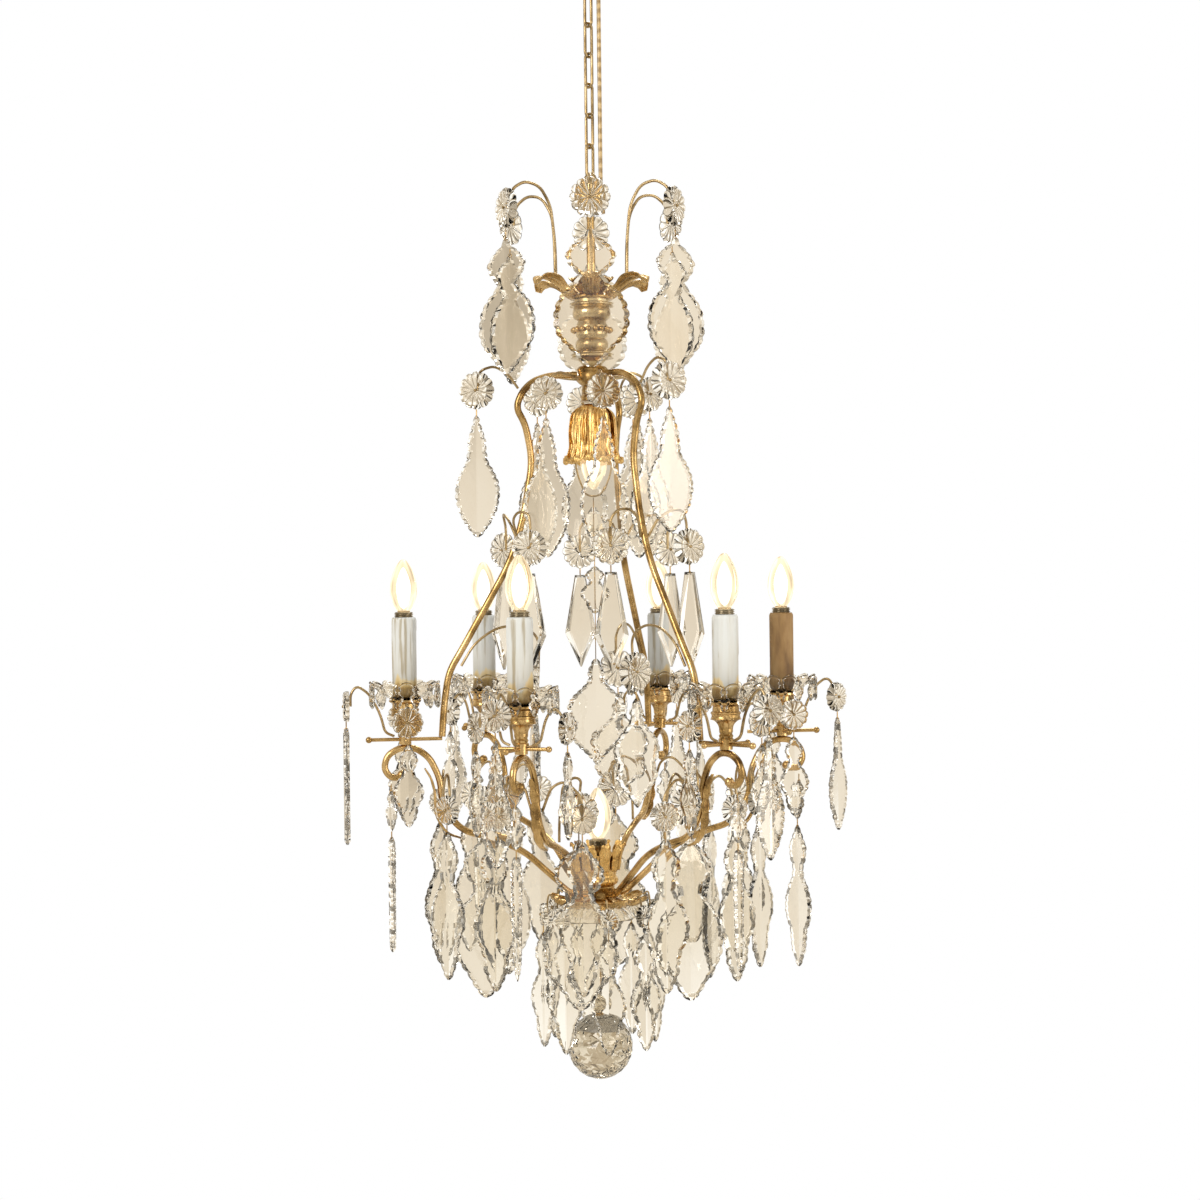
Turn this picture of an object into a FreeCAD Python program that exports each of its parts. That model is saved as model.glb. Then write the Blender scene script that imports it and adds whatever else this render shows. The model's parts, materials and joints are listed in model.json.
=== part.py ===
"""A six-light brass cage chandelier with cut crystal drops, hung on a chain.

Millimetres, +Z up. The origin is on the ceiling face, at the middle of the ceiling crossbar.
Azimuths are degrees from +X, anticlockwise seen from above.
"""

import FreeCAD
import Part
import math
import os

Vec = FreeCAD.Vector
UP = Vec(0, 0, 1)

# ---------------------------------------------------------------- driving dimensions

TOUCH_GAP = 0.15        # between fixed pieces that lie side by side
MOVE_GAP = 0.5          # between pieces of different moving bodies

# ceiling fitting
BAR_LENGTH = 100.0
BAR_BREADTH = 20.0
BAR_THICK = 3.0
SCREW_SPACING = 80.0
SCREW_HOLE_R = 2.75
NIPPLE_R = 5.0
NIPPLE_BORE_R = 3.5
CANOPY_R = 60.0
CANOPY_HEIGHT = 64.0
CANOPY_WALL = 1.2
LOOP_BOSS_R = 9.0
LOOP_BOSS_HEIGHT = 14.0

# chain
EYE_RING_R = 9.0        # centre line of the loop and of the eye
EYE_WIRE_R = 2.5
LINK_COUNT = 6
LINK_PITCH = 40.0
LINK_WIRE_R = 2.0
LINK_WIDTH = 16.0
CHAIN_AZIMUTH = 45.0    # plane of the loop and of every second link
CORD_R = 2.75
CORD_OFFSET = 14.0
CORD_AZIMUTH = 0.0

# stem
TUBE_R = 5.0
TUBE_BORE_R = 3.5
EYE_TO_CROWN = 161.0
CROWN_TO_HUB = 92.0
STEM_R = 28.5

# cage
RIB_R = 4.5
RIB_AZIMUTHS = (-171.0, -51.0, 69.0)
CAGE_HEIGHT = 482.0
SHOULDER_R = 102.0
WAIST_R = 81.0
FOOT_R = 204.0
HUB_R = 21.0
BELL_R = 31.0
BELL_DEPTH = 78.0
WIRE_R = 1.7

# arms
ARM_COUNT = 6
FIRST_ARM = 9.0
ARM_R = 4.3
ARM_DROP = 208.0
CANDLE_R = 252.0
CROSSBAR_R = 2.4
CROSSBAR_OUT = 47.0
CROSSBAR_SIDE = 36.0
LOW_HUB_R = 20.0

# candles
CUP_HEIGHT = 48.0
CUP_R = 19.0
POST_R = 4.0
PAN_R = 46.0
PAN_HEIGHT = 26.0
PAN_WALL = 3.0
PAN_LOBES = 12
SLEEVE_R = 17.0
SLEEVE_WALL = 1.5
SLEEVE_HEIGHT = 104.0
HOLDER_R = 11.0
CAP_R = 7.0             # screw cap of a bulb
BULB_R = 17.5
BULB_HEIGHT = 68.0
CAP_LENGTH = 24.0

# centre light
GALLERY_TOP_R = 35.0
GALLERY_BASE_R = 24.0
GALLERY_HEIGHT = 57.0
DISH_R = 66.0
STUD_R = 10.5
STUD_HEIGHT = 38.0

# crystals
ROSETTE_THICK = 8.0
ROSETTE_PETALS = 12
DROP_THICK = 9.0
THIN = 7.0              # thickness of the smaller drops
PIN_R = 0.8
PIN_LENGTH = 9.0
BALL_R = 43.0

PAN_BEAD = (30.0, 15.0)

CROWN_DROP = (175.0, 97.0)
PEAR_DROP = (180.0, 64.0)
SHOULDER_DROP = (158.0, 65.0)
WAIST_DROP = (127.0, 43.0)
INNER_PLATE = (140.0, 78.0)
OUTER_DROP = (150.0, 42.0)
SIDE_DROP = (104.0, 40.0)
SMALL_DROP = (52.0, 26.0)
ICICLE = (148.0, 15.0)
LONG_LEAF = (188.0, 48.0)
SKIRT_PLATE = (212.0, 97.0)
KNUCKLE_PLATE = (188.0, 60.0)
BOTTOM_DROP = (150.0, 46.0)

# ---------------------------------------------------------------- levels

LOOP_LOW_Z = -CANOPY_HEIGHT - LOOP_BOSS_HEIGHT - 2 * EYE_RING_R - EYE_WIRE_R
LINK_HEIGHT = LINK_PITCH + 2 * LINK_WIRE_R + MOVE_GAP
FIRST_LINK_TOP_Z = LOOP_LOW_Z + EYE_WIRE_R + LINK_WIRE_R + MOVE_GAP
EYE_PIVOT_Z = FIRST_LINK_TOP_Z - LINK_HEIGHT - (LINK_COUNT - 1) * LINK_PITCH
EYE_TOP_Z = EYE_PIVOT_Z + EYE_WIRE_R + LINK_WIRE_R + MOVE_GAP
TUBE_TOP_Z = EYE_TOP_Z - 2 * EYE_RING_R - LOOP_BOSS_HEIGHT
CROWN_Z = EYE_PIVOT_Z - EYE_TO_CROWN
HUB_Z = CROWN_Z - CROWN_TO_HUB
BAR_Z = HUB_Z - CAGE_HEIGHT
LOW_Z = BAR_Z - ARM_DROP
CUP_BASE_Z = BAR_Z + CROSSBAR_R + 1.0
PAN_Z = CUP_BASE_Z + CUP_HEIGHT
SLEEVE_Z = PAN_Z + PAN_WALL
HOLDER_TOP_Z = SLEEVE_Z + SLEEVE_HEIGHT + 7.0
GALLERY_Z = LOW_Z + 10.0
LIGHT_Z = GALLERY_Z + 60.0
BELL_Z = HUB_Z - 46.0
DOWNLIGHT_Z = BELL_Z - 44.0
STUD_LOW_Z = LOW_Z - 6.0 - STUD_HEIGHT
ARM_AZIMUTHS = [FIRST_ARM + 360.0 / ARM_COUNT * k for k in range(ARM_COUNT)]
CROWN_AZIMUTHS = [-90.0 + 60.0 * k for k in range(6)]

# Half widths of each drop, as (share of height from the top, share of half width).
BAROQUE = ((0, .10), (.06, .2), (.2, .68), (.27, .58), (.34, .38), (.45, .7), (.55, .92),
           (.66, 1), (.77, .9), (.84, .66), (.92, .34), (1, .05))
PEAR = ((0, .12), (.13, .3), (.3, .44), (.45, .75), (.62, 1), (.8, .8), (.92, .4), (1, .05))
COFFIN = ((0, .34), (.63, 1), (1, .06))
SPADE = ((0, .1), (.1, .3), (.2, .28), (.36, .8), (.48, 1), (.6, .84), (.72, .9), (.86, .5),
         (1, .05))
LEAF = ((0, .14), (.2, .62), (.38, .6), (.6, 1), (.82, .6), (1, .06))
ICICLE_FORM = ((0, .5), (.12, 1), (.8, .75), (1, .1))

# ---------------------------------------------------------------- helpers


def polar(r, azimuth, z):
    angle = math.radians(azimuth)
    return Vec(r * math.cos(angle), r * math.sin(angle), z)


def spun(shape, azimuth):
    copy = shape.copy()
    copy.rotate(Vec(0, 0, 0), UP, azimuth)
    return copy


def moved(shape, place):
    copy = shape.copy()
    copy.translate(place)
    return copy


def turned(outline):
    """Turn a closed outline about Z. Each point is (r, z) or (r, z, bulge of its next edge)."""
    edges = []
    for k, point in enumerate(outline):
        start = Vec(point[0], 0, point[1])
        after = outline[(k + 1) % len(outline)]
        end = Vec(after[0], 0, after[1])
        run = end - start
        if run.Length < 1e-6:
            continue
        if len(point) > 2:
            side = Vec(run.z, 0, -run.x) * (point[2] / 2)
            curve = Part.Arc(start, (start + end) / 2 + side, end)
            edge = curve.toShape()
            if edge.Curve.Center.x < 0:
                edge = curve.toBSpline().toShape()
            edges.append(edge)
        else:
            edges.append(Part.LineSegment(start, end).toShape())
    face = Part.Face(Part.Wire(edges))
    return as_solid(face.revolve(Vec(0, 0, 0), UP, 360))


def as_solid(shape):
    return shape.Solids[0] if shape.Solids else Part.Solid(shape)


def rod(start, end, radius):
    return Part.makeCylinder(radius, (end - start).Length, start, end - start)


def ball(radius, centre):
    return Part.makeSphere(radius, centre)


def smooth_path(points):
    """A wire of straight runs joined by the largest tangent arcs that the runs allow."""
    edges = []
    here = points[0]
    for before, corner, after in zip(points, points[1:], points[2:]):
        into = corner - before
        out = after - corner
        turn = into.getAngle(out)
        back = 0.45 * min(into.Length, out.Length)
        into.normalize()
        out.normalize()
        if turn < 0.01:
            continue
        start = corner - into * back
        end = corner + out * back
        towards = out - into
        towards.normalize()
        radius = back / math.tan(turn / 2)
        centre = corner + towards * (radius / math.cos(turn / 2))
        middle = centre - towards * radius
        edges.append(Part.LineSegment(here, start).toShape())
        edges.append(Part.Arc(start, middle, end).toShape())
        here = end
    edges.append(Part.LineSegment(here, points[-1]).toShape())
    return Part.Wire(edges)


def tube(points, radius):
    path = smooth_path(points)
    section = Part.Wire(Part.Circle(points[0], points[1] - points[0], radius).toShape())
    return as_solid(path.makePipeShell([section], True, False))


def radial_points(points, azimuth):
    return [polar(r, azimuth, z) for r, z in points]


def leaf(spine, widths, thick):
    """A curled strip in the XZ plane: spine points (r, z), one full width for each."""
    sections = []
    for k, (point, width) in enumerate(zip(spine, widths)):
        before = spine[max(k - 1, 0)]
        after = spine[min(k + 1, len(spine) - 1)]
        along = Vec(after[0] - before[0], 0, after[1] - before[1])
        along.normalize()
        out = Vec(along.z, 0, -along.x) * (thick / 2)
        side = Vec(0, width / 2, 0)
        middle = Vec(point[0], 0, point[1])
        corners = [middle + out + side, middle - out + side, middle - out - side,
                   middle + out - side]
        sections.append(Part.makePolygon(corners + corners[:1]))
    return as_solid(Part.makeLoft(sections, True, True))


def fused(shapes):
    whole = shapes[0].multiFuse(shapes[1:])
    return as_solid(whole)


def ring_of(shape, azimuths):
    return [spun(shape, a) for a in azimuths]


def drop(form, size, thick=DROP_THICK):
    """A bevelled plate of crystal: top at the origin, hanging down, facing +X."""
    height, width = size
    right = [(share * width / 2, -t * height) for t, share in form]
    outline = right + [(-y, z) for y, z in reversed(right)]
    sections = []
    for x, scale in ((-thick / 2, 0.8), (0, 1.0), (thick / 2, 0.8)):
        corners = [Vec(x, y * scale, -height / 2 + (z + height / 2) * scale)
                   for y, z in outline]
        sections.append(Part.makePolygon(corners + corners[:1]))
    return as_solid(Part.makeLoft(sections, True, True))


def rosette(radius, thick=ROSETTE_THICK, petals=ROSETTE_PETALS):
    """A round crystal with a scalloped edge, centred on the origin and facing +X."""
    step = 2 * math.pi / petals
    valley = radius * 0.9
    edges = []
    for k in range(petals):
        low, middle, high = (k - 0.5) * step, k * step, (k + 0.5) * step
        spots = [Vec(-thick / 2, r * math.sin(a), -r * math.cos(a))
                 for r, a in ((valley, low), (radius, middle), (valley, high))]
        edges.append(Part.Arc(*spots).toShape())
    disc = Part.Face(Part.Wire(edges)).extrude(Vec(thick, 0, 0))
    return as_solid(disc)


def facing(shape, place, azimuth):
    return moved(spun(shape, azimuth), place)


def pin_below(place):
    """The wire pin under a rosette's edge, from a place down to the drop that it carries."""
    return rod(place, place - UP * PIN_LENGTH, PIN_R)


def hook(start_points, centre, azimuth, radius=WIRE_R, rise=16.0):
    """A wire through start_points that comes down behind a rosette that faces the azimuth."""
    back = ROSETTE_THICK / 2 + radius + TOUCH_GAP
    behind = centre - polar(back, azimuth, 0)
    above = behind + UP * rise
    return tube(start_points + [above, behind], radius)


# ---------------------------------------------------------------- ceiling fitting and chain


def ceiling_crossbar():
    bar = Part.makeBox(BAR_LENGTH, BAR_BREADTH, BAR_THICK,
                       Vec(-BAR_LENGTH / 2, -BAR_BREADTH / 2, -BAR_THICK))
    for x in (-SCREW_SPACING / 2, SCREW_SPACING / 2):
        bar = bar.cut(rod(Vec(x, 0, 1), Vec(x, 0, -BAR_THICK - 1), SCREW_HOLE_R))
    bar = bar.cut(rod(Vec(0, 0, 1), Vec(0, 0, -BAR_THICK - 1), NIPPLE_R + TOUCH_GAP))
    return [bar]


def canopy_nipple():
    low = -CANOPY_HEIGHT - LOOP_BOSS_HEIGHT * 0.6
    return [turned([(NIPPLE_BORE_R, -0.5), (NIPPLE_R, -0.5), (NIPPLE_R, low),
                    (NIPPLE_BORE_R, low)])]


def ceiling_canopy():
    """A spun bell with its open mouth at the ceiling and a hole for the nipple below."""
    hole = NIPPLE_R + TOUCH_GAP
    wall = CANOPY_WALL
    low = -CANOPY_HEIGHT
    shell = turned([(CANOPY_R, -1), (CANOPY_R, -9), (CANOPY_R - 8, -14, -0.5), (22, low + 14),
                    (18, low), (hole, low), (hole, low + wall), (18 - wall, low + wall),
                    (22 - wall, low + 14 + wall / 2, 0.5), (CANOPY_R - 8 - wall, -14 + wall),
                    (CANOPY_R - wall, -9 + wall), (CANOPY_R - wall, -1)])
    place = polar(CORD_OFFSET, CORD_AZIMUTH, low)
    return [shell.cut(rod(place - UP * 4, place + UP * 20, CORD_R + 0.4))]


def eye_ring(boss_top_z, boss_low_z, ring_z, azimuth, bore):
    """A boss with a ring on it, for the chain. The ring stands in the plane of the azimuth."""
    ring = Part.makeTorus(EYE_RING_R, EYE_WIRE_R, Vec(0, 0, ring_z), Vec(0, 1, 0))
    boss = rod(Vec(0, 0, boss_low_z), Vec(0, 0, boss_top_z), LOOP_BOSS_R)
    whole = spun(fused([ring, boss]), azimuth)
    return whole.cut(bore)


def canopy_loop():
    top = -CANOPY_HEIGHT
    low = top - LOOP_BOSS_HEIGHT
    bore = rod(Vec(0, 0, top + 1), Vec(0, 0, top - LOOP_BOSS_HEIGHT * 0.65),
               NIPPLE_R + TOUCH_GAP)
    return [eye_ring(top, low, LOOP_LOW_Z + EYE_RING_R, CHAIN_AZIMUTH, bore)]


def link(top_z, azimuth):
    """One oval link; top_z is the centre of its upper wire."""
    arc_r = LINK_WIDTH / 2 - LINK_WIRE_R
    upper_z = top_z - arc_r
    lower_z = top_z - LINK_HEIGHT + arc_r
    pieces = []
    for z, first in ((upper_z, 0), (lower_z, 180)):
        section = Part.Face(Part.Wire(
            Part.Circle(Vec(arc_r, 0, z), UP, LINK_WIRE_R).toShape()))
        bow = section.revolve(Vec(0, 0, z), Vec(0, -1, 0), 180)
        bow.rotate(Vec(0, 0, z), Vec(0, -1, 0), first)
        pieces.append(as_solid(bow))
    for x in (-arc_r, arc_r):
        pieces.append(rod(Vec(x, 0, lower_z), Vec(x, 0, upper_z), LINK_WIRE_R))
    return spun(fused(pieces), azimuth)


def chain():
    return [link(FIRST_LINK_TOP_Z - k * LINK_PITCH, CHAIN_AZIMUTH + 90 * ((k + 1) % 2))
            for k in range(LINK_COUNT)]


def power_cord():
    top = polar(CORD_OFFSET, CORD_AZIMUTH, -CANOPY_HEIGHT - MOVE_GAP)
    end = polar(CORD_OFFSET, CORD_AZIMUTH, GLAND_TOP_Z)
    return [rod(top, end, CORD_R)]


# ---------------------------------------------------------------- stem

GLAND_TOP_Z = TUBE_TOP_Z - 8.0
GLAND_R = 5.5
GLAND_HEIGHT = 12.0


def top_eye():
    low = TUBE_TOP_Z
    top = low + LOOP_BOSS_HEIGHT
    bore = rod(Vec(0, 0, low - 1), Vec(0, 0, low + LOOP_BOSS_HEIGHT / 2), TUBE_R + TOUCH_GAP)
    return [eye_ring(top, low, EYE_TOP_Z - EYE_RING_R, CHAIN_AZIMUTH + 90, bore)]


def stem_tube():
    top = TUBE_TOP_Z + LOOP_BOSS_HEIGHT / 2
    low = HUB_Z - 40.0
    return [turned([(TUBE_BORE_R, top), (TUBE_R, top), (TUBE_R, low), (TUBE_BORE_R, low)])]


def cord_gland():
    """The bush beside the tube that takes the end of the cord, on a collar round the tube."""
    middle = polar(CORD_OFFSET, CORD_AZIMUTH, 0)
    low_z = GLAND_TOP_Z - GLAND_HEIGHT
    bush = rod(middle + UP * low_z, middle + UP * (GLAND_TOP_Z - MOVE_GAP), GLAND_R)
    collar = rod(UP * low_z, UP * (low_z + 8), TUBE_R + 4)
    bore = rod(UP * (low_z - 1), UP * (low_z + 9), TUBE_R + TOUCH_GAP)
    return [fused([bush, collar]).cut(bore)]


def leaf_crown():
    """A knob with six acanthus leaves that curl outward, bored for the tube."""
    bore = TUBE_R + TOUCH_GAP
    knob = turned([(bore, CROWN_Z + 26), (9, CROWN_Z + 26), (13, CROWN_Z + 12, 0.4),
                   (27, CROWN_Z + 4), (28, CROWN_Z), (bore, CROWN_Z)])
    spine = [(20, CROWN_Z + 4), (38, CROWN_Z + 12), (56, CROWN_Z + 24), (70, CROWN_Z + 31),
             (80, CROWN_Z + 28), (83, CROWN_Z + 18)]
    one = leaf(spine, (16, 24, 30, 27, 20, 10), 3.0)
    return [fused([knob] + ring_of(one, CROWN_AZIMUTHS))]


CROWN_WIRE_R = 54.0
CROWN_ROSETTE_R = 126.0
CROWN_ROSETTE_Z = CROWN_Z + 111.0


def crown_wires():
    wires = []
    for azimuth in CROWN_AZIMUTHS:
        route = [(CROWN_WIRE_R, CROWN_Z + 25.5), (CROWN_WIRE_R + 1, CROWN_Z + 80),
                 (CROWN_WIRE_R + 6, CROWN_Z + 120), (CROWN_WIRE_R + 22, CROWN_Z + 144),
                 (CROWN_WIRE_R + 44, CROWN_Z + 148), (CROWN_WIRE_R + 60, CROWN_Z + 138)]
        centre = polar(CROWN_ROSETTE_R, azimuth, CROWN_ROSETTE_Z)
        wires.append(hook(radial_points(route, azimuth), centre, azimuth, 2.0))
    return wires


def stem_baluster():
    """The turned stem: collar, cove, beaded ring, cove, double ring and ovolo."""
    r = STEM_R
    bore = TUBE_R + TOUCH_GAP
    z = CROWN_Z - TOUCH_GAP
    body = turned([
        (bore, z), (r - 6, z), (r - 6, z - 4), (r, z - 5, 0.8), (r, z - 9), (r - 6, z - 11, -0.5),
        (r - 11, z - 28), (r - 8, z - 35), (r - 8, z - 45), (r - 8, z - 47), (r - 11, z - 52, -0.4),
        (r - 9, z - 66), (r - 4, z - 69, 0.8), (r - 4, z - 72), (r, z - 72, 0.8), (r, z - 77, 0.35),
        (12, CROWN_Z - CROWN_TO_HUB + 4), (bore, CROWN_Z - CROWN_TO_HUB + 4)])
    return [body]


def stem_beads():
    """Round beads soldered round the middle ring of the stem."""
    place = STEM_R - 8 + 3.6
    return [ball(3.5, polar(place, 360.0 / 18 * k, CROWN_Z - TOUCH_GAP - 40))
            for k in range(18)]


def rib_hub():
    bore = TUBE_R + TOUCH_GAP
    z = HUB_Z
    return [turned([(bore, z + 3.5), (HUB_R - 3, z + 3.5), (HUB_R, z, 0.3), (HUB_R, z - 15),
                    (HUB_R - 3, z - 18), (13, z - 22, -0.3), (13, z - 32), (17, z - 36, 0.6),
                    (17, z - 42), (bore, z - 42)])]


def acanthus_bell():
    """A leaf bell, open below, over the downlight."""
    top = BELL_Z
    low = BELL_Z - BELL_DEPTH
    inner = BELL_R - 6
    shell = turned([(6, top), (14, top), (24, top - 14, 0.3), (BELL_R - 4, top - 40),
                    (BELL_R - 4, low + 16), (inner, low + 16), (inner, top - 40),
                    (21, top - 16, -0.3), (12, top - 3), (6, top - 3)])
    spine = [(BELL_R - 4, low + 30), (BELL_R - 3, low + 16), (BELL_R, low + 6), (BELL_R + 6, low)]
    one = leaf(spine, (14, 15, 13, 7), 2.4)
    return [fused([shell] + ring_of(one, [45.0 * k for k in range(8)]))]


# ---------------------------------------------------------------- cage


def rib_route():
    """Centre line of a rib as (r, z), from the hub over the shoulder and waist to the foot."""
    top = HUB_Z
    head = [(HUB_R, top - 7), (SHOULDER_R - 44, top - 8), (SHOULDER_R - 22, top - 16),
            (SHOULDER_R - 8, top - 30), (SHOULDER_R, top - 50), (SHOULDER_R - 12, top - 72),
            (WAIST_R, top - 119), (WAIST_R + 13, top - 196), (WAIST_R + 31, top - 253)]
    foot = [(FOOT_R - 58, BAR_Z + 169), (FOOT_R - 27, BAR_Z + 115), (FOOT_R - 10, BAR_Z + 87),
            (FOOT_R - 3, BAR_Z + 45), (FOOT_R, BAR_Z + CROSSBAR_R + TOUCH_GAP)]
    return head + foot


def cage_ribs():
    return [tube(radial_points(rib_route(), a), RIB_R) for a in RIB_AZIMUTHS]


INNER_ROSETTE_R = 23.0
SHOULDER_ROSETTE_R = 25.0
WAIST_ROSETTE_R = 24.0
FOOT_ROSETTE_R = 26.0
INNER_ROSETTE_Z = HUB_Z - 36.0
SHOULDER_ROSETTE_Z = HUB_Z - 28.0
WAIST_ROSETTE_Z = HUB_Z - 236.0
FOOT_ROSETTE_Z = BAR_Z + 85.0
INNER_REACH = 79.0
SHOULDER_REACH = SHOULDER_R + 52.0
FOOT_REACH = 82.0
WAIST_TURN = 30.0
# Azimuth and facing of the rosettes near the hub and on the shoulders of the ribs.
INNER_TURNS = ((-140.0, -104.0), (-20.0, -58.0), (100.0, 95.0), (-200.0, -232.0), (-80.0, -85.0),
               (40.0, 62.0))
SHOULDER_TURNS = ((-171.0, -112.0), (-51.0, -66.0), (69.0, 69.0))
# Rib, side of the rib, reach and facing of each waist rosette.
WAIST_STATIONS = ((-171.0, -1, 132.0, -220.0), (-171.0, 1, 108.0, -106.0),
                  (-51.0, -1, 132.0, -86.0), (-51.0, 1, 132.0, -58.0),
                  (69.0, -1, 132.0, 55.0), (69.0, 1, 132.0, 95.0))


def inner_wire(azimuth, face):
    route = [(HUB_R, HUB_Z - 12), (38, HUB_Z - 10), (56, HUB_Z - 6), (INNER_REACH - 11, HUB_Z - 12)]
    centre = polar(INNER_REACH, azimuth, INNER_ROSETTE_Z)
    return hook(radial_points(route, azimuth), centre, face)


def shoulder_wire(azimuth, face):
    step = (RIB_R + WIRE_R + TOUCH_GAP) * 0.75
    route = [(SHOULDER_R - 8 + step, HUB_Z - 30 + step), (SHOULDER_R + 10, HUB_Z - 6),
             (SHOULDER_R + 28, HUB_Z + 4), (SHOULDER_R + 42, HUB_Z)]
    centre = polar(SHOULDER_REACH, azimuth, SHOULDER_ROSETTE_Z)
    return hook(radial_points(route, azimuth), centre, face, rise=22.0)


def waist_wire(rib, side, reach, face):
    """A wire that leaves the side of a rib and arches over to a rosette beside it."""
    start = WAIST_R + 21
    beside = math.degrees((RIB_R + WIRE_R + TOUCH_GAP) / (start + 1))
    route = [polar(start, rib + side * beside, WAIST_ROSETTE_Z + 12),
             polar(start + 10, rib + side * 9, WAIST_ROSETTE_Z + 38),
             polar((start + 10 + reach) / 2, rib + side * 18, WAIST_ROSETTE_Z + 48),
             polar(reach - 5, rib + side * 26, WAIST_ROSETTE_Z + 45)]
    centre = polar(reach, rib + side * WAIST_TURN, WAIST_ROSETTE_Z)
    return hook(route, centre, face, rise=32.0)


def foot_wire(azimuth):
    """A wire from the lower rib inward to a rosette that faces out; it ends behind it."""
    route = [(FOOT_R - 26, BAR_Z + 94), (FOOT_R - 44, BAR_Z + 124), (FOOT_R - 74, BAR_Z + 144),
             (FOOT_REACH + 18, BAR_Z + 146), (FOOT_REACH - 8, BAR_Z + 132)]
    centre = polar(FOOT_REACH, azimuth, FOOT_ROSETTE_Z)
    return hook(radial_points(route, azimuth), centre, azimuth)


def bell_bail():
    """The wire that hangs from two sides of the bell and carries the centre string."""
    reach = BELL_R - 6 - BAIL_R - TOUCH_GAP
    low = BAIL_Z
    left = [Vec(-reach, 0, BELL_Z - BELL_DEPTH + 30), Vec(-reach, 0, low + 34),
            Vec(-10, 0, low)]
    right = [Vec(-p.x, 0, p.z) for p in reversed(left)]
    return tube(left + right, BAIL_R)


BAIL_R = 1.2
BAIL_Z = DOWNLIGHT_Z - BULB_HEIGHT - 9.0


def rib_wires():
    wires = [inner_wire(*turn) for turn in INNER_TURNS]
    wires += [shoulder_wire(*turn) for turn in SHOULDER_TURNS]
    wires += [waist_wire(*stop) for stop in WAIST_STATIONS]
    wires += [foot_wire(azimuth) for azimuth in RIB_AZIMUTHS]
    return wires + [bell_bail()]


# ---------------------------------------------------------------- candle arms


def arm_route():
    """Centre line of an arm as (r, z): up from the low hub, over the top, into the volute."""
    low = [(LOW_HUB_R, LOW_Z), (LOW_HUB_R + 14, LOW_Z), (64, LOW_Z + 26), (99, LOW_Z + 59),
           (145, LOW_Z + 78), (180, LOW_Z + 87)]
    knuckle = [(CANDLE_R - 47, BAR_Z - 88), (CANDLE_R - 45, BAR_Z - 53)]
    volute = [(CANDLE_R - 31, BAR_Z - 24), (CANDLE_R - 12, BAR_Z - 11), (CANDLE_R + 8, BAR_Z - 11),
              (CANDLE_R + 24, BAR_Z - 21), (CANDLE_R + 28, BAR_Z - 38),
              (CANDLE_R + 19, BAR_Z - 50), (CANDLE_R + 5, BAR_Z - 49)]
    return low + knuckle + volute


def candle_arms():
    route = arm_route()
    last = route[-1]
    arm = tube(radial_points(route, 0), ARM_R)
    knob = ball(6.0, Vec(last[0], 0, last[1] + 3))
    return ring_of(fused([arm, knob]), ARM_AZIMUTHS)


def arm_sheaths():
    """Leaf sheaths that lie on the outer side of each arm, over the knuckle."""
    off = ARM_R + 1.2 + TOUCH_GAP
    spine = [(CANDLE_R - 72, BAR_Z - 125 - off), (CANDLE_R - 47 + off, BAR_Z - 92 - off),
             (CANDLE_R - 45 + off, BAR_Z - 56), (CANDLE_R - 30 + off, BAR_Z - 30 - off)]
    return ring_of(leaf(spine, (10, 17, 15, 6), 1.6), ARM_AZIMUTHS)


def arm_crossbars():
    """A cross of thin bars on top of each arm with ball ends and a boss under the cup."""
    radial = rod(Vec(FOOT_R, 0, BAR_Z), Vec(CANDLE_R + CROSSBAR_OUT, 0, BAR_Z), CROSSBAR_R)
    side = rod(Vec(CANDLE_R, -CROSSBAR_SIDE, BAR_Z), Vec(CANDLE_R, CROSSBAR_SIDE, BAR_Z),
               CROSSBAR_R)
    low = BAR_Z - 11 + ARM_R + TOUCH_GAP
    boss = rod(Vec(CANDLE_R, 0, low), Vec(CANDLE_R, 0, CUP_BASE_Z), 8.0)
    tips = [ball(4.2, Vec(CANDLE_R + CROSSBAR_OUT, 0, BAR_Z)),
            ball(3.8, Vec(CANDLE_R, -CROSSBAR_SIDE, BAR_Z)),
            ball(3.8, Vec(CANDLE_R, CROSSBAR_SIDE, BAR_Z))]
    return ring_of(fused([radial, side, boss] + tips), ARM_AZIMUTHS)


OUTER_REACH = CANDLE_R + 76.0
OUTER_ROSETTE_Z = BAR_Z + 44.0
OUTER_FACINGS = (-42.0, 69.0, 129.0, 189.0, -111.0, -60.0)
SIDE_REACH = 60.0
SIDE_ROSETTE_Z = BAR_Z + 25.0
ARM_ROSETTE_R = 20.0


def outer_hook(turn):
    """The hook beyond the pan; its rosette is turned this far from the arm's own azimuth."""
    lie = CROSSBAR_R + WIRE_R + TOUCH_GAP
    route = [Vec(CANDLE_R + 14, 0, BAR_Z + lie), Vec(CANDLE_R + 26, 0, BAR_Z + lie + 5),
             Vec(CANDLE_R + 32, 0, BAR_Z + 34), Vec(CANDLE_R + 46, 0, BAR_Z + 60),
             Vec(CANDLE_R + 62, 0, BAR_Z + 71)]
    return hook(route, Vec(OUTER_REACH, 0, OUTER_ROSETTE_Z), turn)


def side_hook(side):
    lie = CROSSBAR_R + WIRE_R + TOUCH_GAP
    route = [Vec(CANDLE_R, side * 15, BAR_Z + lie), Vec(CANDLE_R, side * 25, BAR_Z + lie + 4),
             Vec(CANDLE_R, side * 32, BAR_Z + 36), Vec(CANDLE_R, side * 42, BAR_Z + 51)]
    return hook(route, Vec(CANDLE_R, side * SIDE_REACH, SIDE_ROSETTE_Z), side * 90)


def arm_hook_wires():
    wires = []
    for azimuth, face in zip(ARM_AZIMUTHS, OUTER_FACINGS):
        hooks = (outer_hook(face - azimuth), side_hook(1), side_hook(-1))
        wires += [spun(wire, azimuth) for wire in hooks]
    return wires


# ---------------------------------------------------------------- candles


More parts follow.
